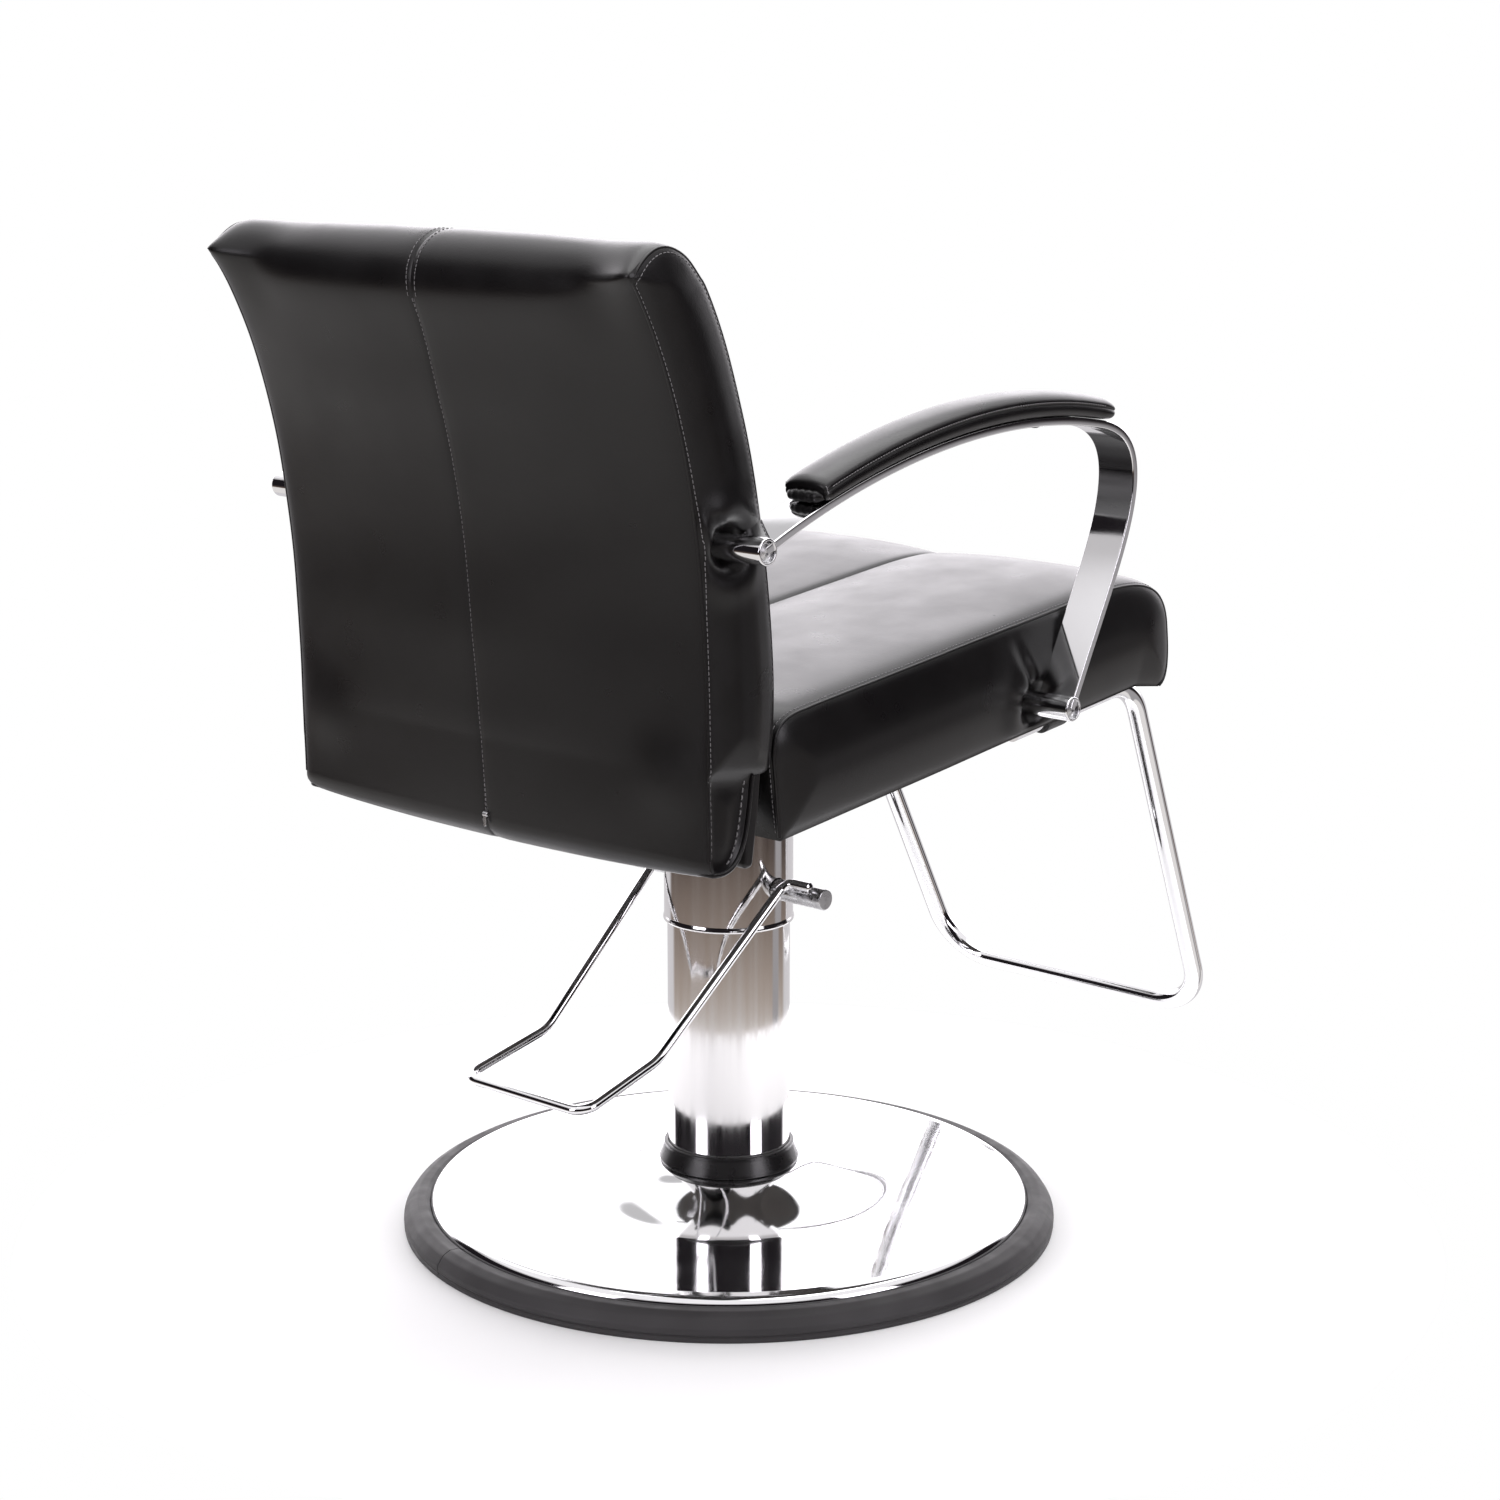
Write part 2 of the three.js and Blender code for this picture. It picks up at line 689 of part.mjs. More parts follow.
// Stands a piece on the bar's middle line, square to it, at a share of the top run.
function onArm(geometry, share, x) {
  const point = armTop.getPoint(share);
  const tangent = armTop.getTangent(share);
  return geometry.rotateX(Math.atan2(-tangent.y, -tangent.x)).translate(x, point.x, point.y);
}

sides.forEach((side) => {
  const middle = side.x * (armOuter - armWidth / 2);
  const bar = sideSlab(armOutline, armWidth, middle);
  const tubes = barrels.map(({ at, cushionHalf }) => {
    return barX(barrelRadius, side.x * (cushionHalf + 1), side.x * (armOuter + 1), at.y, at.z);
  });
  const bores = barrels.flatMap(({ at }) => [
    barX(5.6, side.x * 230, side.x * 300, at.y, at.z, 10),
    barX(8, side.x * (armOuter - 3), side.x * 300, at.y, at.z),
  ]);
  const screwHoles = padScrewSpots.map((share) => onArm(disc(2.9, -6, 6, 10), share, middle));
  add(`arm_bar_${side.name}`, cut(join(bar, ...tubes), ...bores, ...screwHoles), chrome);

  barrels.forEach(({ place, at, cushionHalf }) => {
    const bolt = buttonBolt(7.4, 3.6, 5, armOuter - cushionHalf + shankReach - 6);
    if (side.x > 0) bolt.rotateY(Math.PI);
    bolt.translate(side.x * (armOuter + 0.6), at.y, at.z);
    add(`arm_bolt_${place}_${side.name}`, bolt, steel);
  });

  const padBase = armThickness / 2 + gap;
  const padStart = 0.195;
  const padEnd = 1.03;
  const lower = [];
  const upper = [];
  for (let i = 0; i <= 12; i += 1) {
    const share = Math.min(padStart + ((padEnd - padStart) * i) / 12, 1);
    const point = armTop.getPoint(share);
    const tangent = armTop.getTangent(share);
    const endDrop = i === 0 || i === 12 ? 5 : 0;
    const height = padBase + armPadHeight - endDrop;
    lower.push(new THREE.Vector2(point.x + tangent.y * padBase, point.y - tangent.x * padBase));
    upper.push(new THREE.Vector2(point.x + tangent.y * height, point.y - tangent.x * height));
  }
  const padOutline = new THREE.Shape([...lower, ...upper.reverse()]);
  add(`arm_pad_${side.name}`, sideSlab(padOutline, armPadWidth, middle, { round: 5 }), vinyl);

  padScrewSpots.forEach((share, i) => {
    const head = turned([[0, 0], [5.5, 0], [4.6, -2], [2.5, -3], [0, -3]], 16);
    const screw = join(head, disc(2.5, -0.5, armThickness - 0.5, 10));
    onArm(screw.translate(0, 0, -armThickness / 2 - gap), share, middle);
    add(`pad_screw_${i + 1}_${side.name}`, screw, steel);
  });
});

// ---------------------------------------------------------------- footrest

const footRunDepth = -20; // tube centre below the seat's underside
const acrossChair = new THREE.Vector3(1, 0, 0);
const footRear = new THREE.Vector3(0, -180, footRunDepth).applyAxisAngle(acrossChair, -seatTilt);
const footBend = new THREE.Vector3(0, -371, footRunDepth).applyAxisAngle(acrossChair, -seatTilt);
const footLow = { y: -549, z: 107 };
const footPath = bentPath(
  [-footHalfWidthTop, footRear.y, footRear.z + seatUnderside],
  [
    { at: [-footHalfWidthTop, footBend.y, footBend.z + seatUnderside], radius: 34 },
    { at: [-footHalfWidthBottom, footLow.y, footLow.z], radius: 48 },
    { at: [footHalfWidthBottom, footLow.y, footLow.z], radius: 48 },
    { at: [footHalfWidthTop, footBend.y, footBend.z + seatUnderside], radius: 34 },
  ],
  [footHalfWidthTop, footRear.y, footRear.z + seatUnderside],
  6,
);
add("footrest", bentBar(footPath, footTubeRadius, 12), chrome);

const clampWall = 3;
sides.forEach((side, i) => {
  const [x, y] = clampSpots[i];
  const inside = footTubeRadius + gap;
  const outside = inside + clampWall;
  const saddle = new THREE.Shape();
  saddle.moveTo(-34, -gap);
  saddle.lineTo(-34, -gap - clampWall);
  saddle.lineTo(-outside, -gap - clampWall);
  saddle.lineTo(-outside, footRunDepth);
  saddle.absarc(0, footRunDepth, outside, Math.PI, 2 * Math.PI, false);
  saddle.lineTo(outside, -gap - clampWall);
  saddle.lineTo(34, -gap - clampWall);
  saddle.lineTo(34, -gap);
  saddle.lineTo(inside, -gap);
  saddle.lineTo(inside, footRunDepth);
  saddle.absarc(0, footRunDepth, inside, 0, Math.PI, true);
  saddle.lineTo(-inside, -gap);
  saddle.closePath();
  const strip = new THREE.ExtrudeGeometry(saddle, { depth: 30, bevelEnabled: false, curveSegments: 7 });
  strip.translate(0, 0, -15).rotateX(Math.PI / 2).translate(x, y, 0);
  const holes = [x - 24, x + 24].map((spot) => disc(4.4, -20, 5, 8).translate(spot, y, 0));
  add(`footrest_clamp_${side.name}`, onSeat(cut(strip, ...holes)), blackPaint);
  [x - 24, x + 24].forEach((spot, k) => {
    add(`clamp_bolt_${k + 1}_${side.name}`, underBolt(spot, y, clampWall), steel);
  });
});

// ---------------------------------------------------------------- foot pedal

const camLug = block(14, 22, 9, 0, -11, pedalHeight);
const pedalRod = join(barX(pedalRodRadius, -pedalRodReach, pedalRodReach, 0, pedalHeight, 24), camLug);
add("pedal_rod", pedalRod, steel);

const bailEndY = 9;
const bailEndZ = pedalHeight + 11.3;
const bailPath = bentPath(
  [-106, bailEndY, bailEndZ],
  [
    { at: [-bailHalfWidth - 9, bailEndY, bailEndZ], radius: 11 },
    { at: [-bailHalfWidth, 170, 209], radius: 20 },
    { at: [-bailHalfWidth - 5, 268, 187], radius: 14 },
    { at: [bailHalfWidth + 5, 268, 187], radius: 14 },
    { at: [bailHalfWidth, 170, 209], radius: 20 },
    { at: [bailHalfWidth + 9, bailEndY, bailEndZ], radius: 11 },
  ],
  [106, bailEndY, bailEndZ],
  4,
);
add("pedal_bail", bentBar(bailPath, bailWireRadius, 8), chrome);

add("pump_plunger", disc(plungerRadius, pedalHeight + 4.5 + gap, 380, 20).translate(0, plungerY, 0), steel);

export default chair;
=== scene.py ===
"""Looks of the salon styling chair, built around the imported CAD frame. Metres, +Z up, the chair faces -Y."""

import json
import math

import bpy
import bmesh
import numpy as np
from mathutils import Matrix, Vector
from mathutils.bvhtree import BVHTree


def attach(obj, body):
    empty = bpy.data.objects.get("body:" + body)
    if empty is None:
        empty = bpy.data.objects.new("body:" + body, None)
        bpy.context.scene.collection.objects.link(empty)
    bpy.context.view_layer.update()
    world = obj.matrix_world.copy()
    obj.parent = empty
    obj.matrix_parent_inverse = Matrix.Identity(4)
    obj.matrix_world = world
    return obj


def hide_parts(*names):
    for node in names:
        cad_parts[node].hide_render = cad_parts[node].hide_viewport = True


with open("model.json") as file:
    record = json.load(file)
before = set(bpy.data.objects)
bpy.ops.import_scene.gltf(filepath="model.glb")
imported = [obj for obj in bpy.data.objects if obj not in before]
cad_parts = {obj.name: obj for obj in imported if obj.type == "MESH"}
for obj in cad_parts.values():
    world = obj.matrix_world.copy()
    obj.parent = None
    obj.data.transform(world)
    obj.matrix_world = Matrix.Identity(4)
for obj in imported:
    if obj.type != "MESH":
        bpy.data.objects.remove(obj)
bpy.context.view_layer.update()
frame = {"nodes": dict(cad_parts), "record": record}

# ------------------------------------------------------------------ dimensions, in millimetres

MM = 0.001
SEAT_TILT = math.radians(5.85)
SEAT_UNDERSIDE = 464.0
SEAT_HALF = 240.0
BACK_HALF = 243.0
ARM_OUTER = 287.0
ARM_WIDTH = 38.0
ARM_THICKNESS = 7.0
ARM_MIDDLE = ARM_OUTER - ARM_WIDTH / 2
BARREL_RADIUS = 11.0
REAR_BARREL = (275.0, 695.3)
FRONT_BARREL = (-134.5, 505.5)
BARREL_SINK = 7.0  # how far a barrel presses into its cushion
BARREL_DENT = 15.0  # depth of the hollow that it makes there
BOLT_CROWN = ARM_OUTER + 0.4
DISH_RADIUS = 279.8
DISH_INSIDE = DISH_RADIUS - 2
LOWER_SLEEVE = 56.6
UPPER_SLEEVE = 59.5
SLEEVE_WALL = 1.4
UPPER_BORE = UPPER_SLEEVE - SLEEVE_WALL
PEDAL_HEIGHT = 328.0
PEDAL_ROD = 9.5
PEDAL_ROD_END = 117.0
PEDAL_WIRE = 4.5
FOOT_TUBE = 9.5
SIDES = {"right": -1, "left": 1}

# ------------------------------------------------------------------ materials


def shader_of(material):
    return material.node_tree.nodes["Principled BSDF"]


def new_material(name, colour, roughness, metallic=0.0, **sockets):
    material = bpy.data.materials.new(name)
    material.use_nodes = True
    shader = shader_of(material)
    shader.inputs["Base Color"].default_value = (*colour, 1)
    shader.inputs["Roughness"].default_value = roughness
    shader.inputs["Metallic"].default_value = metallic
    for socket, value in sockets.items():
        shader.inputs[socket.replace("_", " ")].default_value = value
    return material


def add_node(material, kind, **values):
    node = material.node_tree.nodes.new(kind)
    for key, value in values.items():
        if key in node.inputs:
            node.inputs[key].default_value = value
        else:
            setattr(node, key, value)
    return node


def link(material, source, target):
    material.node_tree.links.new(source, target)


def noise(material, scale, detail=2.0, stretch=(1, 1, 1), roughness=0.5):
    """Noise over the object's own coordinates; stretch multiplies the frequency along each axis."""
    place = add_node(material, "ShaderNodeTexCoord")
    mapping = add_node(material, "ShaderNodeMapping")
    mapping.inputs["Scale"].default_value = stretch
    texture = add_node(material, "ShaderNodeTexNoise", Scale=scale, Detail=detail, Roughness=roughness)
    link(material, place.outputs["Object"], mapping.inputs["Vector"])
    link(material, mapping.outputs["Vector"], texture.inputs["Vector"])
    return texture.outputs["Fac"]


def cells(material, scale):
    place = add_node(material, "ShaderNodeTexCoord")
    texture = add_node(material, "ShaderNodeTexVoronoi", feature="F1", Scale=scale)
    link(material, place.outputs["Object"], texture.inputs["Vector"])
    return texture.outputs["Distance"]


def spread(material, value, low, high):
    """Rescales the middle part of a 0..1 pattern to the range low..high."""
    node = add_node(material, "ShaderNodeMapRange")
    node.inputs["From Min"].default_value = 0.3
    node.inputs["From Max"].default_value = 0.7
    node.inputs["To Min"].default_value = low
    node.inputs["To Max"].default_value = high
    link(material, value, node.inputs["Value"])
    return node.outputs["Result"]


def vary_roughness(material, value, low, high):
    shader = shader_of(material)
    link(material, spread(material, value, low, high), shader.inputs["Roughness"])


def vary_colour(material, value, low, high):
    shader = shader_of(material)
    mix = add_node(material, "ShaderNodeMix", data_type="RGBA")
    mix.inputs["A"].default_value = (*low, 1)
    mix.inputs["B"].default_value = (*high, 1)
    link(material, spread(material, value, 0, 1), mix.inputs["Factor"])
    link(material, mix.outputs["Result"], shader.inputs["Base Color"])


def add_bump(material, layers):
    """layers: (pattern, height in metres), chained one on the other."""
    shader = shader_of(material)
    normal = None
    for value, height in layers:
        bump = add_node(material, "ShaderNodeBump")
        bump.inputs["Strength"].default_value = 1
        bump.inputs["Distance"].default_value = height
        link(material, value, bump.inputs["Height"])
        if normal is not None:
            link(material, normal, bump.inputs["Normal"])
        normal = bump.outputs["Normal"]
    link(material, normal, shader.inputs["Normal"])


vinyl = new_material("black_vinyl", (0.0055, 0.0048, 0.0052), 0.3, Specular_IOR_Level=0.38)
vary_colour(vinyl, noise(vinyl, 9), (0.0048, 0.0042, 0.0046), (0.0065, 0.0057, 0.0061))
vary_roughness(vinyl, noise(vinyl, 22, 3), 0.27, 0.34)
add_bump(vinyl, [
    (noise(vinyl, 11, 2), 0.0003),
    (cells(vinyl, 850), 0.00005),
    (noise(vinyl, 1500, 1), 0.00004),
])

chrome = new_material("polished_chrome", (0.86, 0.86, 0.87), 0.06, 1.0)
vary_roughness(chrome, noise(chrome, 25, 4), 0.04, 0.085)
add_bump(chrome, [(noise(chrome, 40, 2), 0.00003)])

column_chrome = new_material("drawn_chrome", (0.84, 0.83, 0.83), 0.1, 1.0)
streaks = noise(column_chrome, 120, 3, (1, 1, 0.02))
vary_roughness(column_chrome, streaks, 0.04, 0.13)
add_bump(column_chrome, [(streaks, 0.00006)])

rubber = new_material("black_rubber", (0.026, 0.0235, 0.025), 0.48)
vary_colour(rubber, noise(rubber, 30, 4), (0.02, 0.018, 0.0193), (0.03, 0.027, 0.029))
vary_roughness(rubber, noise(rubber, 60, 3), 0.48, 0.62)
add_bump(rubber, [(noise(rubber, 900, 2), 0.00004)])

shiny_rubber = new_material("shiny_rubber", (0.01, 0.009, 0.0095), 0.3)
vary_roughness(shiny_rubber, noise(shiny_rubber, 60, 3), 0.24, 0.36)
add_bump(shiny_rubber, [(noise(shiny_rubber, 700, 2), 0.00002)])

painted = new_material("black_paint", (0.022, 0.022, 0.023), 0.42)
vary_roughness(painted, noise(painted, 50, 3), 0.36, 0.5)
add_bump(painted, [(noise(painted, 700, 2), 0.00004)])

steel = new_material("zinc_steel", (0.6, 0.6, 0.61), 0.28, 1.0)
vary_roughness(steel, noise(steel, 160, 3), 0.2, 0.38)
vary_colour(steel, noise(steel, 70, 3), (0.52, 0.52, 0.53), (0.66, 0.66, 0.67))
add_bump(steel, [(noise(steel, 500, 2), 0.00003)])

cast = new_material("cast_iron", (0.06, 0.06, 0.062), 0.6, 0.5)
vary_colour(cast, noise(cast, 40, 4), (0.045, 0.045, 0.047), (0.08, 0.08, 0.082))
add_bump(cast, [(noise(cast, 350, 4), 0.0004)])

nylon = new_material("white_nylon", (0.72, 0.7, 0.66), 0.45)
vary_roughness(nylon, noise(nylon, 80, 3), 0.38, 0.52)
add_bump(nylon, [(noise(nylon, 300, 2), 0.00005)])

plywood = new_material("stained_plywood", (0.03, 0.026, 0.024), 0.6)
grain = noise(plywood, 18, 5, (1, 0.06, 1), 0.65)
vary_colour(plywood, grain, (0.02, 0.017, 0.015), (0.045, 0.038, 0.033))
vary_roughness(plywood, grain, 0.5, 0.72)
add_bump(plywood, [(noise(plywood, 90, 4, (1, 0.05, 1)), 0.0003)])

thread = new_material("grey_thread", (0.22, 0.21, 0.22), 0.6)
vary_colour(thread, noise(thread, 900, 2), (0.17, 0.165, 0.17), (0.28, 0.27, 0.28))
add_bump(thread, [(noise(thread, 2500, 1), 0.0001)])

CAD_FINISH = {
    "chrome": chrome,
    "rubber": rubber,
    "cast_iron": cast,
    "nylon": nylon,
    "black_paint": painted,
    "plywood": plywood,
    "vinyl": vinyl,
    "steel": steel,
}
for row in frame["record"]["subparts"]:
    node = frame["nodes"][row["node"]]
    node.data.materials.clear()
    node.data.materials.append(CAD_FINISH[row["material_slot"]])

# ------------------------------------------------------------------ mesh helpers, in millimetres


def add_object(name, data):
    made = bpy.data.objects.new(name, data)
    bpy.context.scene.collection.objects.link(made)
    return made


def build_mesh(name, points, faces):
    """Closed mesh in metres from points in millimetres, without doubled points or loose edges."""
    mesh = bpy.data.meshes.new(name)
    mesh.from_pydata((np.asarray(points, float) * MM).tolist(), [], [list(map(int, f)) for f in faces])
    work = bmesh.new()
    work.from_mesh(mesh)
    bmesh.ops.remove_doubles(work, verts=work.verts, dist=2e-6)
    bmesh.ops.dissolve_degenerate(work, edges=work.edges, dist=1e-6)
    bmesh.ops.delete(work, geom=[e for e in work.edges if not e.link_faces], context="EDGES")
    bmesh.ops.delete(work, geom=[v for v in work.verts if not v.link_faces], context="VERTS")
    bmesh.ops.recalc_face_normals(work, faces=work.faces)
    work.to_mesh(mesh)
    work.free()
    return mesh


def shade(mesh, crease):
    """Smooth shading with sharp edges where two faces meet at more than the crease angle."""
    work = bmesh.new()
    work.from_mesh(mesh)
    for face in work.faces:
        face.smooth = True
    for edge in work.edges:
        edge.smooth = len(edge.link_faces) == 2 and edge.calc_face_angle(0) < math.radians(crease)
    work.to_mesh(mesh)
    work.free()


def apply_modifiers(made):
    graph = bpy.context.evaluated_depsgraph_get()
    result = bpy.data.meshes.new_from_object(made.evaluated_get(graph))
    made.modifiers.clear()
    old = made.data
    made.data = result
    bpy.data.meshes.remove(old)


def even_normals(made):
    """Lets large flat faces keep their own direction beside small roundings."""
    modifier = made.modifiers.new("even_normals", "WEIGHTED_NORMAL")
    modifier.keep_sharp = True
    apply_modifiers(made)


def piece(name, points, faces, material, body, slot, replaces=(), crease=32):
    """Makes one mesh piece from points in millimetres and lets it ride on a CAD body."""
    mesh = build_mesh(name, points, faces)
    shade(mesh, crease)
    mesh.materials.append(material)
    made = add_object(name, mesh)
    even_normals(made)
    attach(made, body)
    if replaces:
        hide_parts(*replaces)
    return made


def grid_faces(rows, columns, wrap_rows=False, wrap_columns=False):
    faces = []
    for i in range(rows if wrap_rows else rows - 1):
        for j in range(columns if wrap_columns else columns - 1):
            a, b = i * columns, ((i + 1) % rows) * columns
            k = (j + 1) % columns
            faces.append((a + j, a + k, b + k, b + j))
    return faces


def capped(rings):
    """Closed solid through rings with equally many points, with a flat face at each end."""
    rings = np.asarray(rings, float)
    rows, count = rings.shape[:2]
    last = (rows - 1) * count
    ends = [tuple(range(count)), tuple(range(last, last + count))]
    return rings.reshape(-1, 3), grid_faces(rows, count, wrap_columns=True) + ends


def merged(*parts):
    """Joins (points, faces) pairs into one pair."""
    points, faces, count = [], [], 0
    for part_points, part_faces in parts:
        points.append(np.asarray(part_points, float).reshape(-1, 3))
        faces += [tuple(count + i for i in face) for face in part_faces]
        count += len(part_points)
    return np.vstack(points), faces


def unit_rows(vectors):
    return vectors / np.linalg.norm(vectors, axis=1)[:, None]


def corner_arc(before, here, after, radius):
    """Centre of the arc that rounds a corner, and the arms from it to the arc's two ends."""
    before = before - here
    after = after - here
    before /= np.linalg.norm(before)
    after /= np.linalg.norm(after)
    half = math.acos(np.clip(before @ after, -1, 1)) / 2
    middle = here + (before + after) / np.linalg.norm(before + after) * radius / math.sin(half)
    first = here + before * radius / math.tan(half) - middle
    last = here + after * radius / math.tan(half) - middle
    return middle, first, last


def rounded(corners, steps=5):
    """Open outline of (x, y, radius) corners with each radius drawn as an arc."""
    outline = []
    for i, (x, y, radius) in enumerate(corners):
        if radius <= 0 or i in (0, len(corners) - 1):
            outline.append((x, y))
            continue
        spots = [np.array(corner[:2], float) for corner in corners[i - 1:i + 2]]
        middle, first, last = corner_arc(*spots, radius)
        turn = math.atan2(first[0] * last[1] - first[1] * last[0], first @ last)
        for k in range(steps + 1):
            angle = turn * k / steps
            cosine, sine = math.cos(angle), math.sin(angle)
            outline.append((
                middle[0] + first[0] * cosine - first[1] * sine,
                middle[1] + first[0] * sine + first[1] * cosine,
            ))
    return outline


def lathe(outline, segments=144):
    """Closed (radius, height) outline turned about Z."""
    outline = np.asarray(outline, float)
    angles = np.linspace(0, 2 * math.pi, segments, endpoint=False)
    points = np.array([
        [(r * math.cos(a), r * math.sin(a), z) for a in angles] for r, z in outline
    ]).reshape(-1, 3)
    return points, grid_faces(len(outline), segments, wrap_rows=True, wrap_columns=True)


def along_x(part, y, z, direction=1):
    """Turns a part made about Z so that its axis runs along X at (y, z)."""
    points, faces = part
    return np.column_stack([direction * points[:, 2], y + points[:, 0], z + points[:, 1]]), faces


def bend(stops, steps=10):
    """3-D path of straight runs with rounded corners; each stop is (x, y, z, radius)."""
    stops = [(np.array(s[:3], float), s[3]) for s in stops]
    path = []
    for i, (here, radius) in enumerate(stops):
        if radius <= 0 or i in (0, len(stops) - 1):
            path.append(here)
            continue
        middle, first, last = corner_arc(stops[i - 1][0], here, stops[i + 1][0], radius)
        angle = math.acos(np.clip(first @ last / radius**2, -1, 1))
        for k in range(steps + 1):
            a = angle * k / steps
            path.append(middle + (first * math.sin(angle - a) + last * math.sin(a)) / math.sin(angle))
    return np.array(path)


def tube(path, radius, segments=28, round_ends=False):
    """Round bar along a path; radius may be one number or one per point."""
    path = np.asarray(path, float)
    count = len(path)
    ahead = np.roll(path, -1, 0) - path
    behind = path - np.roll(path, 1, 0)
    ahead[-1], behind[0] = behind[-1], ahead[0]
    tangents = unit_rows(unit_rows(ahead) + unit_rows(behind))
    radii = np.broadcast_to(radius, count).astype(float)
    side = np.cross(tangents[0], (0.3, 0.5, 0.81))
    rings = []
    angles = np.linspace(0, 2 * math.pi, segments, endpoint=False)
    for i in range(count):
        side = side - tangents[i] * (side @ tangents[i])
        side /= np.linalg.norm(side)
        other = np.cross(tangents[i], side)
        rings.append([path[i] + radii[i] * (math.cos(a) * side + math.sin(a) * other) for a in angles])
    points = np.array(rings).reshape(-1, 3)
    faces = grid_faces(count, segments, wrap_columns=True)
    ends = [(path[0], -tangents[0], 0), (path[-1], tangents[-1], (count - 1) * segments)]
    for centre, outward, start in ends:
        lift = radii[0] * 0.6 if round_ends else 0
        points = np.vstack([points, centre + outward * lift])
        tip = len(points) - 1
        faces += [(start + k, start + (k + 1) % segments, tip) for k in range(segments)]
    return points, faces


def bezier(p0, p1, p2, p3, steps):
    t = np.linspace(0, 1, steps + 1)[:, None]
    p0, p1, p2, p3 = (np.array(p, float) for p in (p0, p1, p2, p3))
    return (1 - t) ** 3 * p0 + 3 * t * (1 - t) ** 2 * p1 + 3 * t**2 * (1 - t) * p2 + t**3 * p3


def resample(line, count):
    """Points evenly spaced by length along a polyline."""
    line = np.asarray(line, float)
    lengths = np.r_[0, np.cumsum(np.linalg.norm(np.diff(line, axis=0), axis=1))]
    places = np.linspace(0, lengths[-1], count)
    return np.column_stack([np.interp(places, lengths, line[:, k]) for k in range(line.shape[1])])


def coons(bottom, top, left, right):
    """Grid between four edges: bottom and top share one count, left and right the other."""
    rows, columns = len(left), len(bottom)
    s = np.linspace(0, 1, columns)[None, :, None]
    t = np.linspace(0, 1, rows)[:, None, None]
    across = (1 - t) * bottom[None] + t * top[None]
    upward = (1 - s) * left[:, None] + s * right[:, None]
    corners = (
        (1 - s) * (1 - t) * bottom[0] + s * (1 - t) * bottom[-1]
        + (1 - s) * t * top[0] + s * t * top[-1]
    )
    return across + upward - corners


def cut(target, tool_points, tool_faces):
    """Cuts a closed tool out of a piece."""
    mesh = build_mesh("tool", tool_points, tool_faces)
    tool = add_object("tool", mesh)
    modifier = target.modifiers.new("cut", "BOOLEAN")
    modifier.operation = "DIFFERENCE"
    modifier.solver = "EXACT"
    modifier.object = tool
    apply_modifiers(target)
    shade(target.data, 32)
    even_normals(target)
    bpy.data.objects.remove(tool)
    bpy.data.meshes.remove(mesh)


# ------------------------------------------------------------------ base and column

dish_bell = bezier((54, 57.4), (86, 57.4), (110, 34), (152, 32.3), 34)
dish_lip = rounded([(152, 32.3, 0), (266, 31, 3), (DISH_RADIUS, 29, 9), (DISH_RADIUS, 9, 0)], 12)[1:]
dish_lining = rounded([(DISH_INSIDE, 9, 0), (DISH_INSIDE, 27, 7), (264, 29, 3), (152, 30.3, 0)], 8)
dish_outline = np.vstack([dish_bell, dish_lip, dish_lining, dish_bell[-2::-1] - (0, 2)])
piece("dish_shell", *lathe(dish_outline, 224), chrome, "base", "chrome", ["base_dish"])

ring_outline = rounded([
    (280.1, 6, 0), (280.1, 22.5, 1.2), (284, 24.4, 3), (292, 24.4, 6), (299, 20.5, 8), (304.6, 12, 5),
    (305, 7.2, 1), (303.6, 5.6, 0.5), (303.6, 4.6, 0.5), (304.8, 3.4, 0.8), (304.2, 0, 1), (284, 0, 1),
    (280.1, 6, 0),
], 4)
bumper = piece("rubber_ring", *lathe(ring_outline[:-1], 224), rubber, "base", "rubber", ["bumper_ring"], 50)
# The ring is one strip whose two ends meet at a narrow butt joint.
joint = np.array([(r, w, z) for r in (278, 310) for w in (-0.45, 0.45) for z in (-2, 28)])
turn = math.radians(73)
joint[:, :2] = joint[:, :2] @ np.array([[math.cos(turn), math.sin(turn)], [-math.sin(turn), math.cos(turn)]])
cut(bumper, joint, [(0, 1, 3, 2), (4, 6, 7, 5), (0, 4, 5, 1), (2, 3, 7, 6), (0, 2, 6, 4), (1, 5, 7, 3)])

boot_outline = rounded([
    (56.8, 56.6, 0), (62, 56.4, 2), (64.8, 57.6, 1.4), (65.2, 60, 1.6), (62.4, 67, 8), (60.2, 72.5, 3),
    (60.5, 75.4, 0.8), (59.4, 76.4, 0.6), (57, 75.8, 0.4), (56.8, 56.6, 0),
], 5)
piece("column_boot", *lathe(boot_outline[:-1], 144), shiny_rubber, "base", "rubber", ["cover_boot"])


def sleeve(outer, bore, bottom, top, lip=0.6):
    corners = [
        (bore, bottom, 0), (outer, bottom, lip), (outer, top, lip), (bore, top, 0), (bore, bottom, 0),
    ]
    return lathe(rounded(corners, 4)[:-1], 176)


lower_part = sleeve(LOWER_SLEEVE, LOWER_SLEEVE - SLEEVE_WALL, 57.3, 311)
piece("lower_sleeve", *lower_part, column_chrome, "base", "chrome", ["lower_cover"])
piece("guide_bush", *sleeve(54.9, 51.3, 295, 310, 0.4), nylon, "base", "nylon", ["guide_ring"])
cylinder_outline = rounded([
    (46, 100, 0), (51, 100, 0.8), (51, 300, 1.2), (0, 300, 0), (0, 292, 0), (46, 292, 0), (46, 100, 0),
], 4)
piece("rising_cylinder", *lathe(cylinder_outline[:-1], 144), chrome, "lift", "chrome", ["pump_cylinder"])

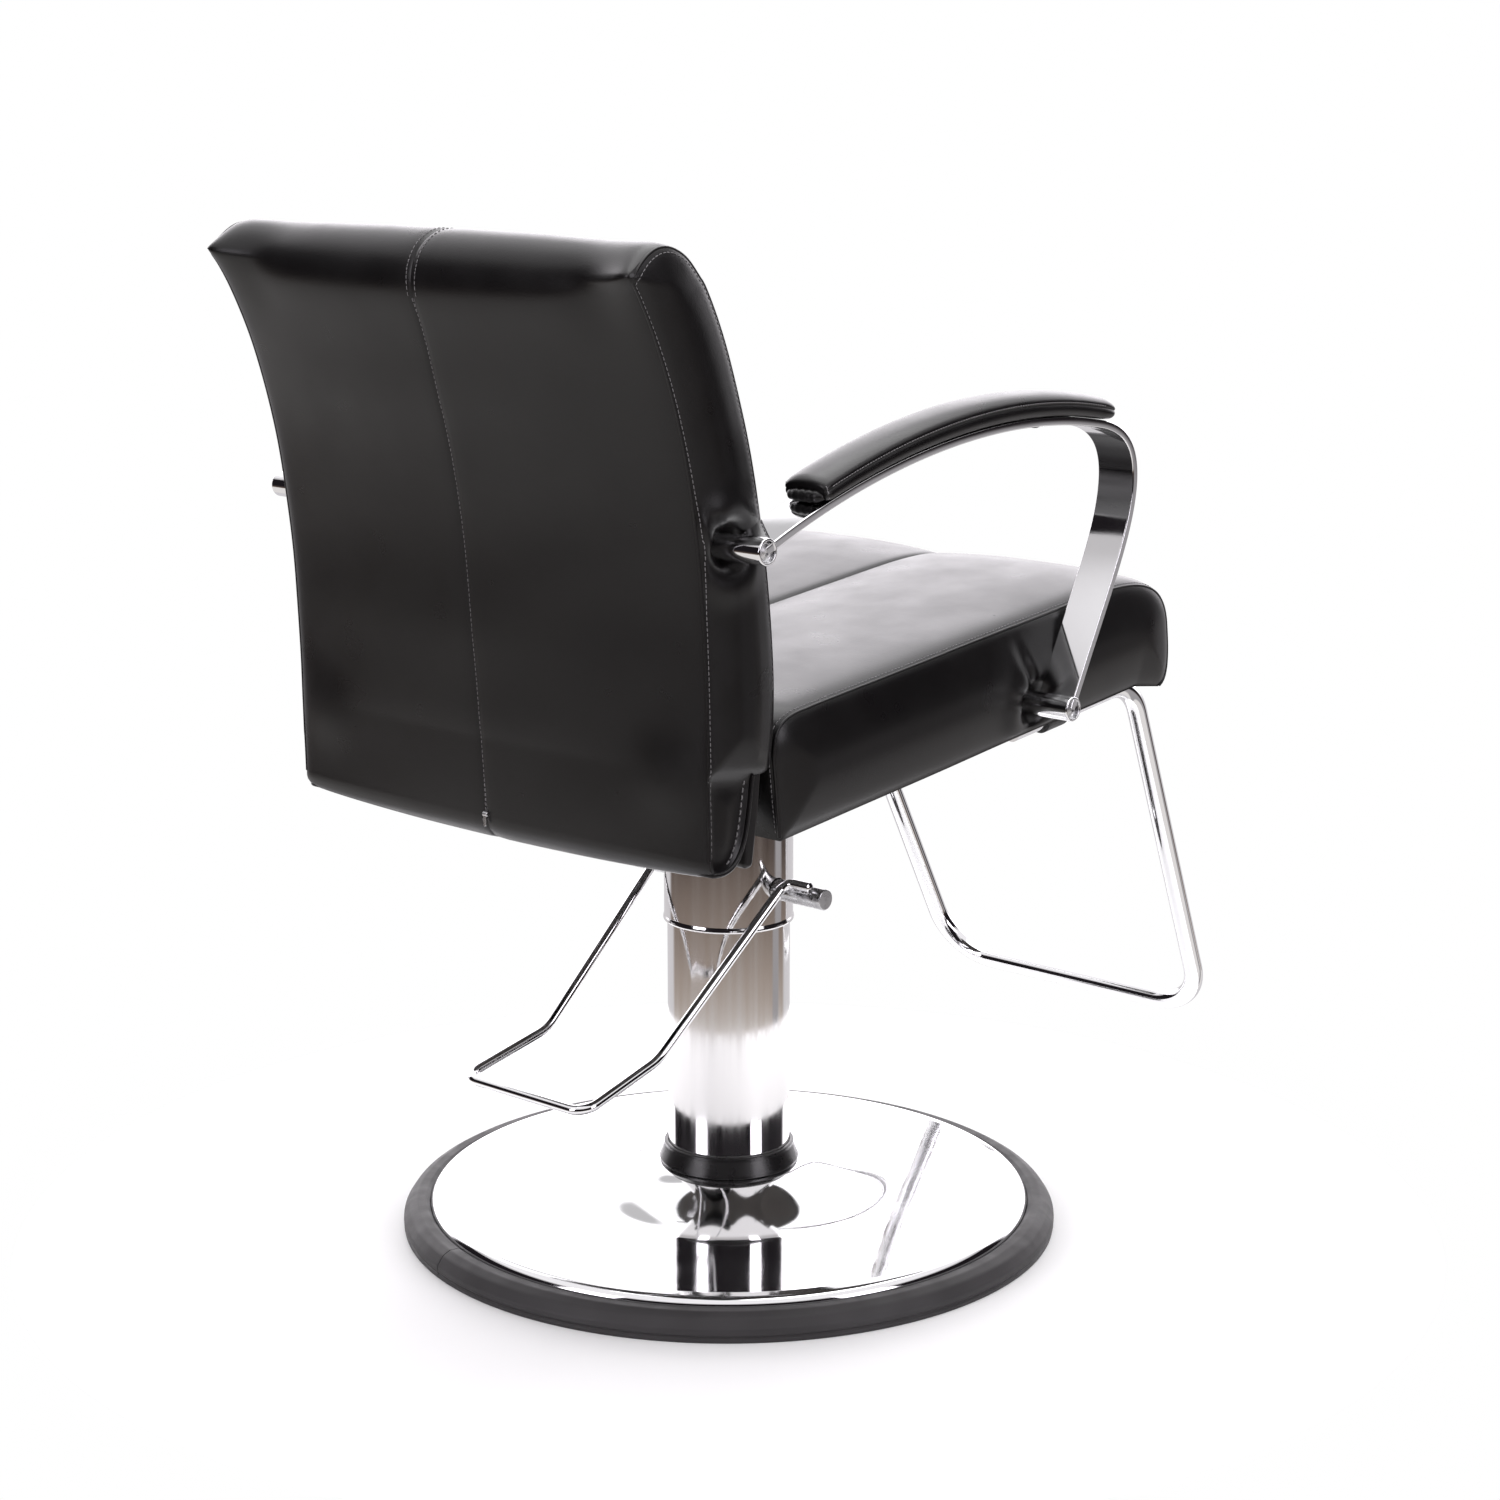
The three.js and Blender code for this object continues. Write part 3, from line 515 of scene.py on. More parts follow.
upper_outline = rounded([
    (UPPER_BORE, 293, 0), (58.7, 291, 0.4), (60.1, 291, 0.5), (60.4, 292.4, 0.6), (60.2, 294, 0.8),
    (UPPER_SLEEVE, 296, 2), (UPPER_SLEEVE, 440, 0.5), (UPPER_BORE, 440, 0), (UPPER_BORE, 293, 0),
], 4)
upper_part = lathe(upper_outline[:-1], 176)
upper = piece("upper_sleeve", *upper_part, column_chrome, "seat", "chrome", ["upper_cover"])
rod_hole = PEDAL_ROD + 0.9
hole_outline = [(0, -70), (rod_hole, -70), (rod_hole, 70), (0, 70)]
cut(upper, *along_x(lathe(hole_outline, 48), 0, PEDAL_HEIGHT))

# ------------------------------------------------------------------ foot pedal

rod_outline = rounded([
    (0, -PEDAL_ROD_END, 0), (PEDAL_ROD, -PEDAL_ROD_END, 1),
    (PEDAL_ROD, PEDAL_ROD_END, 1), (0, PEDAL_ROD_END, 0),
], 4)
rod_part = along_x(lathe(rod_outline, 56), 0, PEDAL_HEIGHT)
piece("pedal_cross_rod", *rod_part, steel, "pedal", "steel", ["pedal_rod"])

bail_stops = [
    (-106, 9, 339.3, 0), (-77.5, 9, 339.3, 11), (-68.5, 170, 209, 42), (-73.5, 268, 187, 16),
    (73.5, 268, 187, 16), (68.5, 170, 209, 42), (77.5, 9, 339.3, 11), (106, 9, 339.3, 0),
]
bail = tube(bend(bail_stops, 12), PEDAL_WIRE, 28, round_ends=True)
piece("pedal_wire", *bail, chrome, "pedal", "chrome", ["pedal_bail"])
for side, x in SIDES.items():
    weld_path = np.array([(x * reach, 9.6, 334) for reach in np.linspace(84, 105, 12)])
    beads = 1.5 + 0.35 * np.sin(np.arange(12) * 2.4)
    piece(f"pedal_weld_{side}", *tube(weld_path, beads, 12, round_ends=True), steel, "pedal", "steel")

# ------------------------------------------------------------------ footrest


def on_seat(points):
    """From the seat's own frame (x, y along the seat, height above its underside) to the row frame."""
    points = np.asarray(points, float).reshape(-1, 3)
    cosine, sine = math.cos(SEAT_TILT), math.sin(SEAT_TILT)
    return np.column_stack([
        points[:, 0],
        points[:, 1] * cosine + points[:, 2] * sine,
        -points[:, 1] * sine + points[:, 2] * cosine + SEAT_UNDERSIDE,
    ])


def seat_point(x, y, height):
    return tuple(on_seat([(x, y, height)])[0])


foot_stops = [
    (*seat_point(-185, -180, -20), 0), (*seat_point(-185, -371, -20), 52), (-162.5, -549, 107, 58),
    (162.5, -549, 107, 58), (*seat_point(185, -371, -20), 52), (*seat_point(185, -180, -20), 0),
]
piece("footrest_tube", *tube(bend(foot_stops, 16), FOOT_TUBE, 44), chrome, "seat", "chrome", ["footrest"])

# ------------------------------------------------------------------ arms


def arm_line(steps):
    """Middle line of the flat bar in the side view as (y, z)."""
    top = bezier(REAR_BARREL, (157.5, 745), (-16.8, 782.7), (-170, 754), steps)
    turn = bezier((-170, 754), (-207, 747), (-226, 728), (-221, 690), steps // 2)
    leg = bezier((-221, 690), (-215, 648), (-188.3, 608.6), FRONT_BARREL, steps)
    return np.vstack([top, turn[1:], leg[1:]])


def side_normals(line):
    """Unit normals of a (y, z) line, to the left of its direction."""
    ahead = unit_rows(np.gradient(line, axis=0))
    return np.column_stack([-ahead[:, 1], ahead[:, 0]])


def bar_section(width, thickness, corner):
    w, h = width / 2, thickness / 2
    corners = [(0, -h, 0), (w, -h, corner), (w, h, corner), (-w, h, corner), (-w, -h, corner), (0, -h, 0)]
    return np.array(rounded(corners, 3)[:-1])


def flat_bar(line, section, x):
    """Sweeps an (across, outward) section along a (y, z) line."""
    normals = side_normals(line)
    return capped([
        [(x + a, y + n[0] * h, z + n[1] * h) for a, h in section] for (y, z), n in zip(line, normals)
    ])


def barrel(inner, outer):
    """Sleeve about Z from its cushion end to its outer face, with a counterbore for the bolt head."""
    outline = rounded([
        (5.6, inner, 0), (BARREL_RADIUS, inner, 0.6), (BARREL_RADIUS, outer, 1.2), (8.8, outer, 0.4),
        (8.8, outer - 4.6, 0.2), (5.6, outer - 4.6, 0), (5.6, inner, 0),
    ], 5)
    return lathe(outline[:-1], 72)


def bolt_head(top):
    """Button head about Z with its crown at `top`."""
    dome = rounded([(0, top - 4.9, 0), (7.3, top - 4.9, 0.2), (7.3, top - 2.2, 1.6), (0, top, 0)], 6)
    return lathe(dome, 48)


def socket_tool(top):
    """Six-lobed plug about Z that cuts the socket into a head."""
    angles = np.linspace(0, 2 * math.pi, 36, endpoint=False)
    radii = 2.9 + 0.55 * np.cos(6 * angles)
    lobes = [(r * math.cos(a), r * math.sin(a)) for r, a in zip(radii, angles)]
    return capped([[(x, y, h) for x, y in lobes] for h in (top - 2.2, top + 2)])


for side, x in SIDES.items():
    middle = x * ARM_MIDDLE
    bar = flat_bar(arm_line(56), bar_section(ARM_WIDTH, ARM_THICKNESS, 1.1), middle)
    rear = along_x(barrel(BACK_HALF - BARREL_SINK, ARM_OUTER + 1), *REAR_BARREL, x)
    front = along_x(barrel(SEAT_HALF - BARREL_SINK, ARM_OUTER + 1), *FRONT_BARREL, x)
    piece(f"arm_{side}", *merged(bar, rear, front), chrome, "seat", "chrome", [f"arm_bar_{side}"])
    for place, spot in (("rear", REAR_BARREL), ("front", FRONT_BARREL)):
        name = f"arm_bolt_{place}_{side}"
        dome = along_x(bolt_head(BOLT_CROWN), *spot, x)
        head = piece(f"{name}_head", *dome, steel, "seat", "steel", [name])
        cut(head, *along_x(socket_tool(BOLT_CROWN), *spot, x))

# ------------------------------------------------------------------ upholstery helpers


def stations(half, count):
    """Places across a cushion with a seam at each side and one in the middle, closer near the seams."""
    share = (1 - np.cos(np.linspace(0, math.pi, count))) / 2
    return np.r_[-half + half * share, half * share[1:]]


def distance_to(points, line):
    """Distance of each 2-D point to a polyline."""
    points, line = np.asarray(points, float), np.asarray(line, float)
    best = np.full(len(points), 1e9)
    for a, b in zip(line[:-1], line[1:]):
        run = b - a
        share = np.clip((points - a) @ run / max(run @ run, 1e-9), 0, 1)
        best = np.minimum(best, np.linalg.norm(points - a - share[:, None] * run, axis=1))
    return best


def smooth(value, low, high):
    share = np.clip((np.asarray(value, float) - low) / (high - low), 0, 1)
    return share * share * (3 - 2 * share)


def ripple(points, seed, lengths, amount):
    """Soft uneven waviness: a few fixed sine waves of the given lengths in millimetres."""
    random = np.random.default_rng(seed)
    total = np.zeros(len(points))
    for length in lengths:
        for _ in range(3):
            direction = random.normal(size=3)
            direction /= np.linalg.norm(direction)
            total += np.sin(points @ direction * 2 * math.pi / length + random.uniform(0, 6.28)) / 3
    return amount * total / len(lengths)


def barrel_dent(points, spot, side_x, creases):
    """Presses a side panel in round a barrel; creases are (degrees, reach, depth) pull folds from it."""
    across = points[:, 1] - spot[0]
    up = points[:, 2] - spot[1]
    away = np.hypot(across, up)
    angle = np.arctan2(up, across)
    inward = BARREL_DENT * np.exp(-((np.clip(away - 7, 0, None) / 10) ** 2))
    inward -= 2.2 * np.exp(-(((away - 33) / 12) ** 2))
    for degrees, reach, fold in creases:
        turn = np.angle(np.exp(1j * (angle - math.radians(degrees))))
        q = turn * away / (5.0 + 0.06 * away)
        fade = smooth(away, 8, 20) * (1 - smooth(away, 0.35 * reach, reach)) * (abs(turn) < 1.4)
        inward += fold * (1 - 1.1 * q**2) * np.exp(-(q**2)) * fade
    points[:, 0] -= side_x * inward
    return points


surfaces = {}


def remember(made):
    """Keeps a finished cushion's surface so that seams and stitches can lie on it."""
    graph = bpy.context.evaluated_depsgraph_get()
    surfaces[made.name] = BVHTree.FromObject(made, graph)


def lay_on(surface, line, lift=0.0):
    """Moves a line in millimetres onto a cushion's surface; returns points and outward normals."""
    tree = surfaces[surface]
    laid, normals = [], []
    for point in np.asarray(line, float) * MM:
        place, normal, _, _ = tree.find_nearest(Vector(point))
        laid.append(np.array(place) / MM + np.array(normal) * lift)
        normals.append(np.array(normal))
    return np.array(laid), np.array(normals)


def welt(name, surface, line, radius):
    """Thin piped seam half sunk in a cushion."""
    length = np.linalg.norm(np.diff(line, axis=0), axis=1).sum()
    laid, _ = lay_on(surface, resample(line, int(length / 4) + 2), -radius * 0.3)
    piece(name, *tube(laid, radius, 14, round_ends=True), vinyl, "seat", "vinyl")


def stitches(name, surface, lines, pitch=4.4, share=0.66, radius=0.36):
    """Rows of short thread stitches lying on a cushion."""
    parts = []
    for line in lines:
        length = np.linalg.norm(np.diff(line, axis=0), axis=1).sum()
        count = max(int(length / pitch), 2)
        marks = resample(line, 2 * count + 1)
        for k in range(count):
            a, b = marks[2 * k], marks[2 * k + 2]
            middle, reach = (a + b) / 2, (b - a) / 2 * share
            run = np.array([middle + reach * f for f in (-1, -0.55, 0.55, 1)])
            laid, normals = lay_on(surface, run)
            lifts = np.array([-0.85, 0.6, 0.6, -0.85]) * radius
            parts.append(tube(laid + normals * lifts[:, None], radius, 6))
    piece(name, *merged(*parts), thread, "seat", "steel")


# ------------------------------------------------------------------ seat cushion

SEAT_ROWS = 34  # rows of the side panels between bottom and top
BOARD_TOP = 12.8  # height of the board in the pocket of the underside
seat_corner = bezier((207, 68), (207.5, 92), (198, 102), (170, 102), 24)
seat_front = bezier((-182, 102), (-294, 102), (-354, 101), (-354, 44), 60)
seat_lip = bezier((-354, 44), (-355.5, 12), (-352, -9), (-337, -9.5), 16)
rear_part = resample(np.vstack([[(206, 0)], seat_corner[:13]]), SEAT_ROWS)
top_part = resample(np.vstack([seat_corner[12:], seat_front[:46]]), 200)
front_part = resample(np.vstack([seat_front[45:], seat_lip[1:]]), SEAT_ROWS)
seat_line = np.vstack([rear_part, top_part[1:], front_part[1:]])
seat_bottom = resample([(206, 0), (-300, 0), (-337, -9.5)], len(top_part))
seat_across = stations(SEAT_HALF, 30)


def seat_sheet():
    """Rear, top and front sheet in one strip, crowned in two panels between the seams."""
    normals = -side_normals(seat_line)
    count = len(seat_line)
    run = np.linspace(0, 1, count)
    points = []
    for x in seat_across:
        share = abs(x) / SEAT_HALF
        rim = 4.5 * (1 - math.exp(-(SEAT_HALF - abs(x)) / 7))
        crown = 5.5 * (1 - abs(2 * share - 1) ** 2.4)
        valley = 2.2 * math.exp(-(abs(x) / 2.6) ** 1.3)
        hold = smooth(run, 0.0, 0.07) * (1 - smooth(run, 0.95, 1))
        height = (rim + crown - valley) * hold
        points.append(np.column_stack([np.full(count, x), seat_line + normals * height[:, None]]))
    return np.array(points)


def seat_side(side):
    grid = coons(seat_bottom, top_part, rear_part, front_part[::-1])
    rows, columns = grid.shape[:2]
    flat = grid.reshape(-1, 2)
    edge = distance_to(flat, np.vstack([seat_line, seat_bottom[::-1]]))
    low = distance_to(flat, seat_bottom)
    bulge = 5.0 * (1 - np.exp(-edge / 6.5)) + 5.0 * smooth(edge, 0, 46) - 1.5 * np.exp(-low / 14)
    bulge[edge < 0.01] = 0
    points = np.column_stack([side * (SEAT_HALF + bulge), flat])
    return points, grid_faces(rows, columns)


def seat_under():
    """Underside: a rim round the edge and a flat pocket over the board."""
    columns = len(seat_bottom)
    points = np.array([np.column_stack([np.full(columns, x), seat_bottom]) for x in seat_across])
    flat = points.reshape(-1, 3)
    inside = (abs(flat[:, 0]) < 233) & (flat[:, 1] < 201.5) & (flat[:, 1] > -335)
    flat[inside, 2] = BOARD_TOP
    return flat, grid_faces(len(seat_across), columns)


sheet = seat_sheet()
parts = [(sheet.reshape(-1, 3), grid_faces(len(seat_across), len(seat_line)))]
parts += [seat_side(-1), seat_side(1), seat_under()]
seat_points, seat_faces = merged(*parts)
seat_points = on_seat(seat_points)
seat_points[:, 2] += ripple(seat_points, 4, (75, 130), 0.45)
for side_x in SIDES.values():
    near = side_x * seat_points[:, 0] > SEAT_HALF + 0.5
    creases = [(62, 78, 3.2), (14, 60, 2.0), (168, 55, 1.6)]
    seat_points[near] = barrel_dent(seat_points[near], FRONT_BARREL, side_x, creases)
seat_cushion = piece(
    "seat_cushion_vinyl", seat_points, seat_faces, vinyl, "seat", "vinyl", ["seat_cushion"], 75,
)
remember(seat_cushion)


def seat_seam(x, first, last):
    line = seat_line[first:last]
    return on_seat(np.column_stack([np.full(len(line), x), line]))


for side, x in SIDES.items():
    welt(f"seat_welt_{side}", "seat_cushion_vinyl", seat_seam(x * SEAT_HALF, 1, -1), 1.5)
    rows = [seat_seam(x * (SEAT_HALF - 4.2), 2, -2)]
    stitches(f"seat_stitches_{side}", "seat_cushion_vinyl", rows)

# ------------------------------------------------------------------ back

BACK_ROWS = 23  # rows of the side panels: the tail's top edge and the foot of the front
rear_line = bezier((294, 431), (296, 604.8), (293.1, 772.1), (377, 905), 120)
front_line = bezier((226, 505), (201.2, 558.1), (234.7, 817.2), (310, 917), 120)
ear = np.array([379.0, 907.0])
tail_tip = (243.0, 506.0)
crest = bezier((379, 907), (362, 929), (346, 936), (325, 925), 30)
front_top = bezier((325, 925), (316, 920.5), (311, 914), (303, 905), 12)
front_down = front_line[front_line[:, 1] < 903][::-1]
front_foot = bezier(front_down[-4], (222, 509), (224, 505), (233, 505), 8)

# The sheet runs: tail front edge, round the bottom, up the rear, over the crest, down the front.
tail_run = resample(bezier(tail_tip, (249, 470), (250, 432), (279, 430.5), 40), 26)
tail_turn = resample(bezier((279, 430.5), (288, 430.3), (293.5, 432), (294.2, 440), 12), 6)
rear_low = resample(rear_line[(rear_line[:, 1] > 441) & (rear_line[:, 1] < 512)], 14)
rear_low = np.vstack([rear_low, [[np.interp(513, rear_line[:, 1], rear_line[:, 0]), 513.0]]])
rear_middle = rear_line[(rear_line[:, 1] > 516) & (rear_line[:, 1] < 900)]
rear_high = resample(np.vstack([rear_low[-1:], rear_middle, ear[None]]), 150)
crest_run = resample(crest, BACK_ROWS)
front_run = resample(np.vstack([crest[-1:], front_top[1:], front_down[:-4], front_foot[:1]]), 150)
foot_run = resample(front_foot, 5)
tail_top = resample([tail_run[0], rear_low[-1]], 18)
back_line = np.vstack([
    tail_run, tail_turn[1:], rear_low, rear_high[1:], crest_run[1:], front_run[1:], foot_run[1:],
])
back_across = stations(BACK_HALF, 30)
tail_count = len(tail_run) + len(tail_turn) - 1 + len(rear_low)
rear_end = tail_count + len(rear_high) - 1
crest_end = rear_end + len(crest_run) - 1


def back_crown():
    """Height of the crown along the sheet: tail, rear, crest, front."""
    marks = [
        0, 18, len(tail_run), tail_count, tail_count + 32, rear_end - 40, rear_end - 4, rear_end + 6,
        crest_end, crest_end + 50, len(back_line) - 24, len(back_line) - 1,
    ]
    heights = [0, 2, 7, 14, 18.5, 18, 8, 5, 5, 11, 9, 0]
    crown = np.interp(np.arange(len(back_line)), marks, heights)
    window = np.hanning(29)
    return np.convolve(np.pad(crown, 14, mode="edge"), window / window.sum(), mode="valid")


def back_sheet():
    normals = -side_normals(back_line)
    crown = back_crown()
    count = len(back_line)
    index = np.arange(count)
    hold = smooth(index, 0, 8) * (1 - smooth(index, count - 8, count - 1))
    window = np.hanning(43)[1:-1]
    window /= window.sum()
    points = []
    for x in back_across:
        share = abs(x) / BACK_HALF
        rim = 3.0 * (1 - math.exp(-(BACK_HALF - abs(x)) / 6))
        valley = 1.5 * math.exp(-(abs(x) / 2.2) ** 1.4) + 0.7 * math.exp(-((abs(x) - 5) / 1.4) ** 2)
        height = crown * (1 - share**2.2) + (rim - valley) * hold
        line = back_line + normals * height[:, None]
        padded = np.pad(line, ((20, 20), (0, 0)), mode="edge")
        soft = np.column_stack([np.convolve(padded[:, k], window, mode="valid") for k in (0, 1)])
        amount = np.exp(-(((index - rear_end) / 18) ** 2)) * smooth(1 - share, 0.0, 0.3)
        points.append(np.column_stack([np.full(count, x), line + (soft - line) * amount[:, None]]))
    return np.array(points)


def gusset(side):
    """Main side panel between the rear seam, the crest, the front seam and its lower seam."""
    foot = np.vstack([tail_top[::-1], foot_run[::-1]])
    grid = coons(foot, crest_run, rear_high, front_run[::-1])
    rows, columns = grid.shape[:2]
    flat = grid.reshape(-1, 2)
    border = np.vstack([rear_high, crest_run, front_run, foot[::-1]])
    edge = distance_to(flat, border)
    bulge = 4.0 * (1 - np.exp(-edge / 5.0)) + 5.0 * smooth(edge, 0, 34)
    bulge[edge < 0.01] = 0
    return np.column_stack([side * (BACK_HALF + bulge), flat]), grid_faces(rows, columns)


def tail_gusset(side):
    """Recessed side panel of the tail, below the main one."""
    base = np.vstack([tail_run[14:], tail_turn[1:], rear_low[:1]])
    front = tail_run[:15][::-1]
    grid = coons(base, tail_top, front, rear_low)
    rows, columns = grid.shape[:2]
    flat = grid.reshape(-1, 2)
    border = np.vstack([tail_top, rear_low[::-1], base[::-1], front])
    edge = distance_to(flat, border)
    sunk = 3.2 * smooth(edge, 0.5, 7) - 1.6 * smooth(edge, 9, 24)
    sunk[edge < 0.01] = 0
    return np.column_stack([side * (BACK_HALF - sunk), flat]), grid_faces(rows, columns)


def near_spot(points, spot, reach, power=2):
    """1 at a spot, fading to nothing over the reach."""
    return np.exp(-((np.linalg.norm(points - spot, axis=1) / reach) ** power))[:, None]


sheet = back_sheet()
parts = [(sheet.reshape(-1, 3), grid_faces(len(back_across), len(back_line), wrap_columns=True))]
parts += [gusset(-1), gusset(1), tail_gusset(-1), tail_gusset(1)]
back_points, back_faces = merged(*parts)
back_points[:, 1] += ripple(back_points, 9, (90, 150), 0.5)
for side_x in SIDES.values():
    near = side_x * back_points[:, 0] > BACK_HALF + 0.5
    back_points[near] = barrel_dent(back_points[near], REAR_BARREL, side_x, [(48, 52, 2.0)])
    # The upper corner stands out with a hollow beside it; the vinyl gathers above the tail.
    tip = np.array([side_x * BACK_HALF, *ear])
    back_points += near_spot(back_points, tip, 15, 1.5) * (side_x, 4.5, 3.0)
    back_points -= near_spot(back_points, tip + (-side_x * 46, -8, -22), 26) * (0, 3.2, 0.8)
    gather = near_spot(back_points, np.array([side_x * 205, 300, 505]), 30)
    back_points += gather * (0, 2.4, 0) * (back_points[:, 1:2] > 280)
back = piece(
    "back_vinyl", back_points, back_faces, vinyl, "seat", "vinyl", ["back_rear_pad", "back_front_pad"], 75,
)
remember(back)


def back_seam(x, line):
    return np.column_stack([np.full(len(line), x), line])


seam_loop = np.vstack([rear_low, rear_high[1:], crest_run[1:], front_run[1:]])
gusset_middle = np.array([282.0, 700.0])
stitch_line = seam_loop + unit_rows(gusset_middle - seam_loop) * 3.8
for side, x in SIDES.items():
    welt(f"back_welt_{side}", "back_vinyl", back_seam(x * BACK_HALF, seam_loop), 1.2)
    rows = [back_seam(x * (BACK_HALF + 3), stitch_line[2:-20])]
    stitches(f"back_side_stitches_{side}", "back_vinyl", rows)
middle_run = back_line[30:-24]
stitches("back_centre_stitches", "back_vinyl", [back_seam(x, middle_run) for x in (-5.0, 5.0)], 4.2)


def rounded_slab(outline, half, radius):
    """Side-view (y, z) outline given a width along X, its two ends rounded off."""
    outline = np.asarray(outline, float)
    normals = side_normals(np.vstack([outline[-1:], outline, outline[:1]]))[1:-1]
    area = np.sum(outline[:, 0] * np.roll(outline[:, 1], -1) - np.roll(outline[:, 0], -1) * outline[:, 1])
    inward = normals * np.sign(area)
    angles = np.linspace(0, math.pi / 2, 5)
    rings = [(-half + radius * (1 - math.cos(a)), radius * (1 - math.sin(a))) for a in angles]
    rings += [(-across, inset) for across, inset in rings[::-1]]
    return capped([
        np.column_stack([np.full(len(outline), across), outline + inward * inset]) for across, inset in rings
    ])


wrap_outline = rounded([
    (236, 508, 0), (229, 508, 3), (233, 470, 60), (239.5, 428, 5), (251.5, 428, 5), (243.5, 508, 3),
    (236, 508, 0),
], 5)[:-1]
piece("tail_wrap_vinyl", *rounded_slab(wrap_outline, 241.5, 3.5), vinyl, "seat", "vinyl")

foot_bar = np.array([[x, 291.5, 431.6] for x in np.linspace(-236, 236, 60)])
corner_in = np.array([[-BACK_HALF, *p] for p in np.vstack([tail_run, tail_turn[1:3]])])
corner_out = corner_in[::-1] * (-1, 1, 1)
piping_path = np.vstack([corner_in, [[-241.5, 288, 430.8]], foot_bar, [[241.5, 288, 430.8]], corner_out])
piping_path = resample(piping_path, 260)
piece("tail_piping", *tube(piping_path, 2.1, 14, round_ends=True), vinyl, "seat", "vinyl")
for side, x in SIDES.items():
    line = back_seam(x * 240, tail_run[1:22] + [(6.5, 1.0)])
    stitches(f"tail_stitches_{side}", "back_vinyl", [line], 5.6, 0.6, 0.7)
    line = back_seam(x * 240, rear_low[:-1] - [(4.0, 0)])
    stitches(f"tail_rear_stitches_{side}", "back_vinyl", [line], 5.0)

zip_outline = rounded([
    (0, 445, 0), (1.7, 445, 1.2), (1.4, 435, 1.3), (-1.4, 435, 1.3), (-1.7, 445, 1.2), (0, 445, 0),
], 4)[:-1]
zip_points, zip_faces = rounded_slab(zip_outline, 0.6, 0.3)
zip_points = np.column_stack([zip_points[:, 1], 307.2 + zip_points[:, 0], zip_points[:, 2]])
slider_outline = rounded([(0, -3, 0), (2.2, -3, 0.8), (2.2, 3, 0.8), (0, 3, 0)], 3)
slider = along_x(lathe(slider_outline, 24), 306.0, 445.5)
piece("zip_slider", *merged((zip_points, zip_faces), slider), steel, "seat", "steel", ["zip_pull"])

# ------------------------------------------------------------------ arm pads

PAD_START, PAD_END = 76.0, 466.0  # along the bar's middle line from the rear barrel
pad_half_section = np.vstack([
    bezier((0, 0.3), (12, 0.3), (17, 0.0), (19.5, 1.2), 6),
    bezier((19.5, 1.2), (23.5, 3.0), (24.2, 8.5), (21.6, 11.6), 9)[1:],
    bezier((21.6, 11.6), (24.2, 14.5), (21.0, 19.5), (11.5, 21.3), 10)[1:],
    bezier((11.5, 21.3), (7.5, 22.0), (3.5, 22.2), (0, 22.2), 5)[1:],
])
pad_section = np.vstack([pad_half_section, pad_half_section[-2:0:-1] * (-1, 1)])


def pad_frame():
    """Stations of a pad: place on the bar's middle line, direction out of it, and section scale."""
    line = arm_line(160)
    lengths = np.r_[0, np.cumsum(np.linalg.norm(np.diff(line, axis=0), axis=1))]
    normals = -side_normals(line)
    ends = 9.0 * (1 - np.cos(np.linspace(0, math.pi / 2, 9)))
    middle = np.linspace(PAD_START + 12, PAD_END - 20, 84)
    places = np.r_[PAD_START + ends, middle, PAD_END - 1.7 * ends[::-1]]
    spots = np.column_stack([np.interp(places, lengths, line[:, k]) for k in (0, 1)])
    out = unit_rows(np.column_stack([np.interp(places, lengths, normals[:, k]) for k in (0, 1)]))
    rear = np.clip((places - PAD_START) / 9.0, 0, 1)
    front = np.clip((PAD_END - places) / 15.3, 0, 1)
    scale = np.sqrt(np.clip(1 - (1 - rear) ** 2, 0, 1)) * np.sqrt(np.clip(1 - (1 - front) ** 2, 0, 1))
    return spots, out, places, 0.62 + 0.38 * scale


pad_spots, pad_out, pad_places, pad_scale = pad_frame()


def pad_point(x, station, across, height):
    spot, out, scale = pad_spots[station], pad_out[station], pad_scale[station]
    share = (pad_places[station] - PAD_START) / (PAD_END - PAD_START)
    swell = 0.9 + 0.12 * math.sin(math.pi * min(share * 1.05, 1))
    rise = ARM_THICKNESS / 2 + 0.2 + (height - 10) * scale * swell + 10 * swell
    return (x + across * (0.75 + 0.25 * scale), spot[0] + out[0] * rise, spot[1] + out[1] * rise)


for side, x in SIDES.items():
    middle = x * ARM_MIDDLE
    body = capped([[pad_point(middle, k, a, h) for a, h in pad_section] for k in range(len(pad_spots))])
    name = f"arm_pad_{side}_vinyl"
    pad = piece(name, *body, vinyl, "seat", "vinyl", [f"arm_pad_{side}"], 60)
    remember(pad)
    rows = []
    for a in (-22.6, 22.6):
        rows.append(np.array([pad_point(middle, k, a, 13.3) for k in range(7, len(pad_spots) - 8)]))
    for a in (-20.5, 20.5):
        rows.append(np.array([pad_point(middle, 4, a, h) for h in np.linspace(2, 17, 8)]))
    stitches(f"arm_pad_{side}_stitches", name, rows, 3.4, 0.62)
    roll_x = np.linspace(-17.5, 17.5, 24)
    spot, out = pad_spots[2], pad_out[2]
    roll = np.array([(middle + a, spot[0] + 1.5 + out[0] * 9.0, spot[1] + out[1] * 9.0) for a in roll_x])
    radii = 5.6 * np.sqrt(np.clip(1 - (roll_x / 18.6) ** 4, 0.02, 1)) + 0.25 * np.sin(roll_x * 0.9)
    tuck = piece(f"arm_pad_{side}_tuck", *tube(roll, radii, 24, round_ends=True), vinyl, "seat", "vinyl")

# ------------------------------------------------------------------ floor, light and camera

FLOOR_RADIUS = 0.66  # metres
TO_CAMERA = math.radians(131.4)  # azimuth of the viewer, in the middle of the dim half of the room

